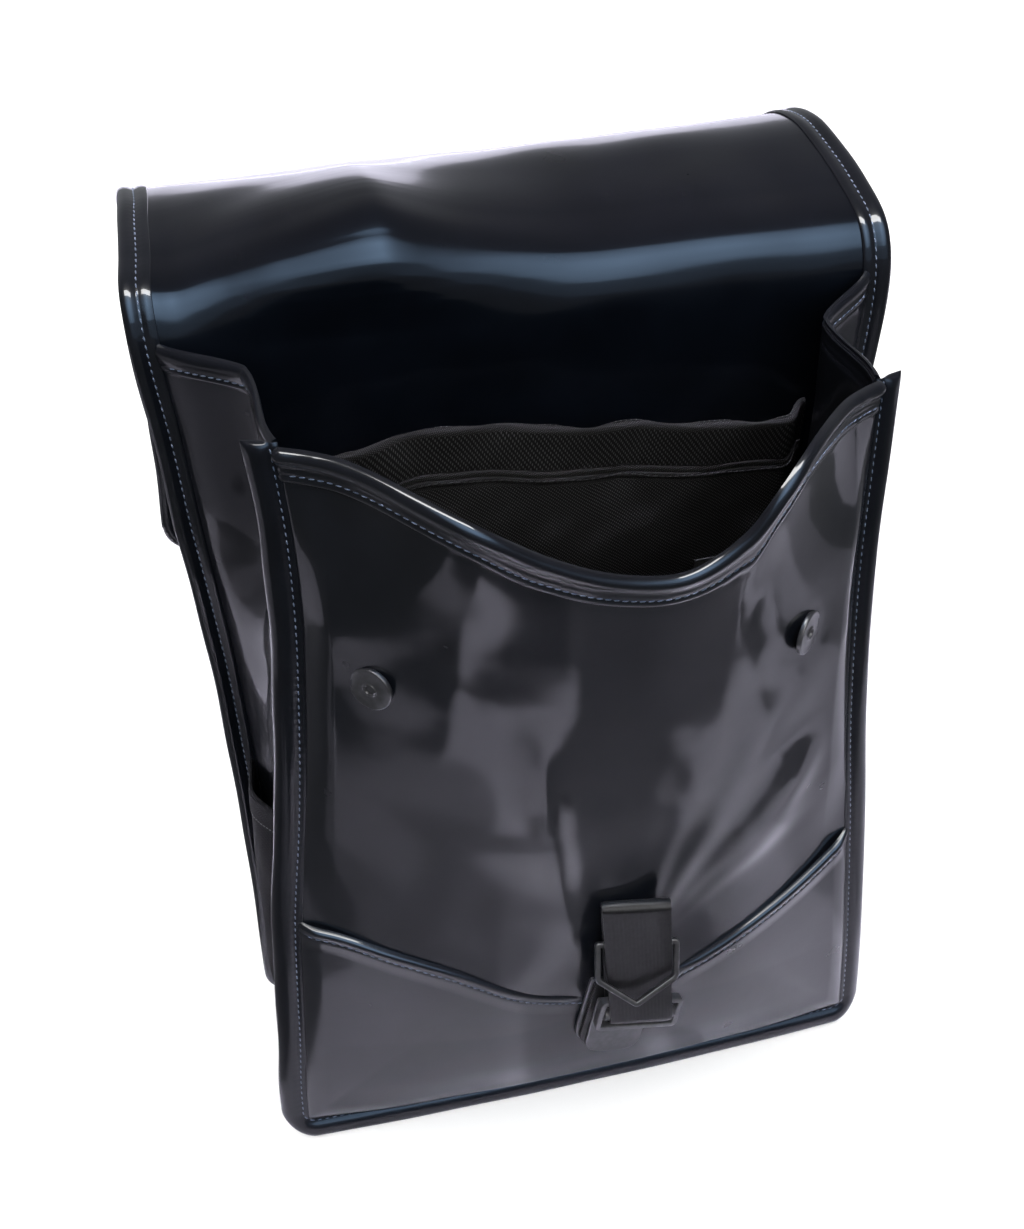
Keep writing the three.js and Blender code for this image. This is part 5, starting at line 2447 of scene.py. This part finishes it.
    def ring(self) -> None:
        """The pointed ring that hangs in the tape."""
        half, low = self.ring_width / 2, -self.ring_high
        bend = low + self.ring_point
        corners = ((-half, 0.0), (-half, bend), (0.0, low), (half, bend), (half, 0.0))
        outline = rounded(corners, self.ring_round, 8)
        piece = sweep("pointed_ring", outline, self.ring_wire, self.ring_deep, self.wire_bevel)
        piece.data.transform(Matrix.Translation((0.0, 0.0, self.ring_top / 2 * MM)))
        middle, across, up, forward = self.tape_frame(self.ring_at)
        turn = Matrix((across, -forward, up)).transposed().to_4x4()
        lean = Matrix.Rotation(math.radians(-self.ring_lean), 4, "X")
        piece.data.transform(Matrix.Translation(middle * MM) @ turn @ lean)
        dress(piece, self.finishes.metal, Slot.METAL, "v_ring")


# Studio

BLUE: Three = (0.44, 0.67, 1.0)
GREY: Three = (0.57, 0.57, 0.57)
CARD_COLOUR: Three = (1.0, 0.97, 1.18)
FRONT_TARGET: Three = (0.0, 0.05, 0.36)


@dataclass(frozen=True)
class SoftBox:
    """A rectangle of light that faces a spot, in metres, watts and degrees."""

    name: str
    place: Three
    target: Three
    size: Pair
    power: float
    colour: Three = (1.0, 1.0, 1.0)
    spread: float = 180.0
    shadow: bool = True

    def build(self, lit: bpy.types.Collection | None = None) -> Piece:
        """Makes the light.

        Args:
            lit: The pieces that it falls on, where it doesn't fall on all.

        Returns:
            The light.
        """
        data = bpy.data.lights.new(self.name, "AREA")
        data.shape = "RECTANGLE"
        data.size, data.size_y = self.size
        data.energy = self.power
        data.color = self.colour
        data.spread = math.radians(self.spread)
        data.use_shadow = self.shadow
        light = bpy.data.objects.new(self.name, data)
        bpy.context.scene.collection.objects.link(light)
        light.location = self.place
        away = Vector(self.place) - Vector(self.target)
        light.rotation_euler = away.to_track_quat("Z", "Y").to_euler()
        light.light_linking.receiver_collection = lit
        return light


@dataclass(frozen=True)
class Wash:
    """Light from straight above on one rectangle, in metres and watts per square metre.

    Most are so narrow that they make a card of light on the hidden floor, which the cloth mirrors.
    """

    name: str
    left: float
    right: float
    front: float
    back: float
    strength: float
    spread: float = 0.9
    shadow: bool = False

    def box(self, high: float) -> SoftBox:
        """Lays out the light.

        Args:
            high: Its height.

        Returns:
            The light, not yet made.
        """
        x, y = (self.left + self.right) / 2, (self.front + self.back) / 2
        size = (self.right - self.left, self.back - self.front)
        power = self.strength * size[0] * size[1]
        return SoftBox(
            self.name, (x, y, high), (x, y, 0.0), size, power, CARD_COLOUR, self.spread, self.shadow
        )


@dataclass
class Studio:
    """Camera, pale floor and surroundings, the cards of light that the cloth mirrors, and soft boxes."""

    focal_pixels: float = 1808.0
    image_high: float = 1229.0
    sensor: float = 36.0
    clip: Pair = (0.01, 50.0)
    elevation: float = 35.0
    azimuth: float = 14.8
    roll: float = -0.65
    target: Three = (3.0, 79.0, 178.5)
    distance: float = 843.5
    floor_size: float = 14.0
    floor_colour: Four = (0.93, 0.93, 0.93, 1.0)
    floor_roughness: float = 0.9
    floor_gloss: float = 0.1
    cards_under: float = 0.002
    floor_light_high: float = 3.0
    floor_light_size: float = 24.0
    floor_power: float = 3100.0
    floor_shadow_power: float = 520.0
    backdrop: float = 1.0
    sky_colour: Four = (0.9, 0.94, 1.0, 1.0)
    surroundings: float = 0.07
    glow: float = 0.24
    glow_depth: Pair = (0.0, 0.75)
    glow_height: Pair = (1.2, -0.1)
    wash_high: float = 1.6
    washes: tuple[Wash, ...] = (
        Wash("left_foot_wash", -0.17, -0.03, -0.155, 0.12, 2.9),
        Wash("middle_foot_wash", -0.03, 0.04, -0.155, 0.12, 3.6),
        Wash("buckle_foot_wash", 0.04, 0.13, -0.125, 0.12, 4.2),
        Wash("right_foot_wash", 0.13, 0.2, -0.145, 0.12, 3.4),
        Wash("edge_wash", -0.5, -0.275, 0.1, 0.4, 3.3),
        Wash("left_side_wash", -1.6, -0.5, 0.1, 1.2, 0.8),
        Wash("left_card_wash", -1.2, -0.5, -0.12, 0.1, 1.5),
        Wash("right_side_wash", 0.75, 1.6, -0.1, 0.62, 1.6),
        Wash("right_wash", 0.2, 0.36, -0.145, 0.12, 1.8),
        Wash("right_band_wash", 0.13, 0.28, -0.21, -0.145, 3.4),
        Wash("right_top_wash", 0.28, 0.375, -0.18, -0.145, 3.0),
        Wash("side_wash", 0.36, 0.435, -0.145, 0.12, 1.8),
        Wash("far_side_wash", 0.435, 0.55, -0.12, 0.12, 0.5),
        Wash("front_left_wash", -0.42, -0.04, -0.2, -0.155, 0.75),
        Wash("left_diagonal_wash", -0.36, -0.04, -0.25, -0.2, 1.8),
        Wash("diagonal_wash", -0.185, 0.05, -0.292, -0.25, 4.2),
        Wash("diagonal_foot_wash", -0.085, -0.04, -0.25, -0.19, 3.0),
        Wash("front_middle_wash", -0.04, 0.04, -0.25, -0.155, 1.8),
        Wash("tongue_wash", 0.04, 0.105, -0.5, -0.125, 0.5),
        Wash("beside_tongue_wash", 0.105, 0.13, -0.185, -0.125, 2.8),
        Wash("front_right_wash", 0.105, 0.36, -0.5, -0.21, 0.4),
        Wash("behind_wash", -0.28, 0.46, 0.12, 0.35, 3.5),
        Wash("middle_far_wash", -0.28, 0.62, 0.35, 0.62, 3.5),
        Wash("far_wash", -0.6, 1.6, 0.62, 7.0, 3.8),
        Wash("soft_top_light", -0.3, 0.4, 0.02, 0.4, 1.9, 25.0, True),
    )
    key: SoftBox = SoftBox(
        "front_soft_box", (0.1, -1.15, 1.45), FRONT_TARGET, (3.4, 1.7), 13.3, BLUE, 80.0
    )
    plain_key: SoftBox = replace(key, name="plain_soft_box", colour=GREY)
    fill: SoftBox = SoftBox("low_soft_box", (0.3, -1.7, 0.75), FRONT_TARGET, (2.6, 0.9), 2.2, BLUE)
    above: SoftBox = SoftBox("hem_soft_box", (-0.1, -0.45, 1.7), FRONT_TARGET, (1.4, 0.4), 26.0)
    behind: SoftBox = SoftBox(
        "rear_soft_box", (0.0, 1.6, 0.48), (0.0, 0.12, 0.39), (3.0, 0.5), 5.6, CARD_COLOUR
    )

    def build(self) -> None:
        """Sets up the studio, apart from the lights that wait for the pieces."""
        self.camera()
        self.floor()
        self.sky()
        self.lights()

    def camera(self) -> None:
        """The camera at the photograph's viewing angle."""
        e, a, r = (math.radians(v) for v in (self.elevation, self.azimuth, self.roll))
        ahead = Vector((math.sin(a) * math.cos(e), math.cos(a) * math.cos(e), -math.sin(e)))
        level = Vector((math.cos(a), -math.sin(a), 0.0))
        upright = level.cross(ahead)
        right = level * math.cos(r) + upright * math.sin(r)
        up = upright * math.cos(r) - level * math.sin(r)
        place = Vector(self.target) - ahead * self.distance
        data = bpy.data.cameras.new("camera")
        data.sensor_width = self.sensor
        data.lens = self.focal_pixels / self.image_high * self.sensor
        data.clip_start, data.clip_end = self.clip
        camera = bpy.data.objects.new("camera", data)
        bpy.context.scene.collection.objects.link(camera)
        turn = Matrix((right, up, -ahead)).transposed().to_4x4()
        camera.matrix_world = Matrix.Translation(place * MM) @ turn
        bpy.context.scene.camera = camera

    def floor(self) -> None:
        """A plain pale floor, and just under it one with cards of light, which only reflections see."""
        board = NodeBoard("pale_floor")
        board.set_surface(
            Base_Color=self.floor_colour, Roughness=self.floor_roughness,
            Specular_IOR_Level=self.floor_gloss,
        )
        for name, plain, under in (("floor", True, 0.0), ("card_floor", False, self.cards_under)):
            deselect()
            bpy.ops.mesh.primitive_plane_add(size=self.floor_size, location=(0.0, 0.0, -under))
            bpy.ops.object.transform_apply(location=True)
            floor = bpy.context.active_object
            floor.name = name
            floor.visible_camera = plain
            floor.visible_glossy = not plain
            floor.visible_diffuse = not plain
            floor.visible_shadow = not plain
            floor.data.materials.append(board.material)
            floor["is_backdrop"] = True

    def lit(self, name: str, pieces: Iterable[Piece]) -> bpy.types.Collection:
        """Gathers the pieces that a light falls on.

        Args:
            name: Name of the new collection.
            pieces: The pieces.

        Returns:
            The collection.
        """
        collection = bpy.data.collections.new(name)
        for piece in pieces:
            collection.objects.link(piece)
        return collection

    def lights(self) -> None:
        """Even light on the seen floor, and cards of light for the reflections."""
        over = (0.0, 0.0, self.floor_light_high)
        size = (self.floor_light_size, self.floor_light_size)
        even = SoftBox("floor_light", over, (0.0, 0.0, 0.0), size, self.floor_power, shadow=False)
        only_floor = self.lit("plain_floor", [bpy.data.objects["floor"]])
        even.build(only_floor)
        cast = replace(even, name="floor_shadow_light", power=self.floor_shadow_power, shadow=True)
        cast.build(only_floor)
        for wash in self.washes:
            wash.box(self.wash_high).build().visible_glossy = False
        bpy.context.scene.view_settings.view_transform = "Standard"

    def front_lights(self, finishes: Finishes) -> None:
        """Soft boxes on the pieces, and the cards' own light kept to the pieces and the hidden floor.

        The coated cloth gets a blue box over the camera and a low one, and one from above, apart from
        the back and flap, which get one from behind. The other pieces get a plain one.

        Args:
            finishes: The materials, by which the pieces are told apart.
        """
        meshes = [piece for piece in bpy.data.objects if piece.type == "MESH" and piece.data.materials]
        shown = {piece: piece.data.materials[0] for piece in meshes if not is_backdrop(piece)}
        coated = [piece for piece, finish in shown.items() if finish in finishes.blue_lit]
        others = [piece for piece, finish in shown.items() if finish not in finishes.blue_lit]
        flap = [piece for piece in coated if shown[piece] == finishes.back_cloth]
        sewn = [piece for piece in coated if shown[piece] != finishes.back_cloth]
        blue, plain = self.lit("lit_blue", coated), self.lit("lit_plain", others)
        carded = self.lit("lit_by_cards", (*shown, bpy.data.objects["card_floor"]))
        for wash in self.washes:
            bpy.data.objects[wash.name].light_linking.receiver_collection = carded
        self.key.build(blue)
        self.plain_key.build(plain)
        self.fill.build(blue)
        self.above.build(self.lit("lit_from_above", sewn))
        self.behind.build(self.lit("lit_from_behind", flap))

    def sky(self) -> None:
        """A plain backdrop for the camera, and dim surroundings that glow low down behind the bag."""
        world = bpy.data.worlds.new("surroundings")
        world.use_nodes = True
        bpy.context.scene.world = world
        nodes, link = world.node_tree.nodes, world.node_tree.links.new
        way = nodes.new("ShaderNodeTexCoord")
        parts = nodes.new("ShaderNodeSeparateXYZ")
        link(way.outputs["Generated"], parts.inputs["Vector"])
        both = nodes.new("ShaderNodeMath")
        both.operation = "MULTIPLY_ADD"
        both.inputs[2].default_value = self.surroundings
        for axis, (dark, bright), socket in zip(("Y", "Z"), (self.glow_depth, self.glow_height), both.inputs):
            share = nodes.new("ShaderNodeMapRange")
            share.interpolation_type = "SMOOTHSTEP"
            share.inputs["From Min"].default_value = dark
            share.inputs["From Max"].default_value = bright
            share.inputs["To Max"].default_value = self.glow**0.5
            link(parts.outputs[axis], share.inputs["Value"])
            link(share.outputs["Result"], socket)
        dim = nodes["Background"]
        dim.inputs["Color"].default_value = self.sky_colour
        link(both.outputs["Value"], dim.inputs["Strength"])
        pale = nodes.new("ShaderNodeBackground")
        pale.inputs["Color"].default_value = (self.backdrop, self.backdrop, self.backdrop, 1.0)
        ray = nodes.new("ShaderNodeLightPath")
        seen = nodes.new("ShaderNodeMixShader")
        link(ray.outputs["Is Camera Ray"], seen.inputs["Fac"])
        link(dim.outputs["Background"], seen.inputs[1])
        link(pale.outputs["Background"], seen.inputs[2])
        link(seen.outputs["Shader"], nodes["World Output"].inputs["Surface"])


# All together


def main() -> None:
    """Builds the bag piece by piece."""
    logging.basicConfig(level=logging.INFO, format="%(name)s %(message)s")
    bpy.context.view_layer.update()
    finishes = Finishes()
    studio = Studio()
    studio.build()
    FrontPanels(finishes).build()
    front_binding().build(finishes)
    back_binding().build(finishes)
    BackAndFlap(finishes).build()
    Gussets(finishes).build()
    BasePanel(finishes).build()
    Sleeve(finishes).build()
    for side in Side:
        ShoulderStrap(side, finishes).build()
    Snaps(finishes).build()
    Buckle(finishes).build()
    studio.front_lights(finishes)


if __name__ == "__main__":
    main()
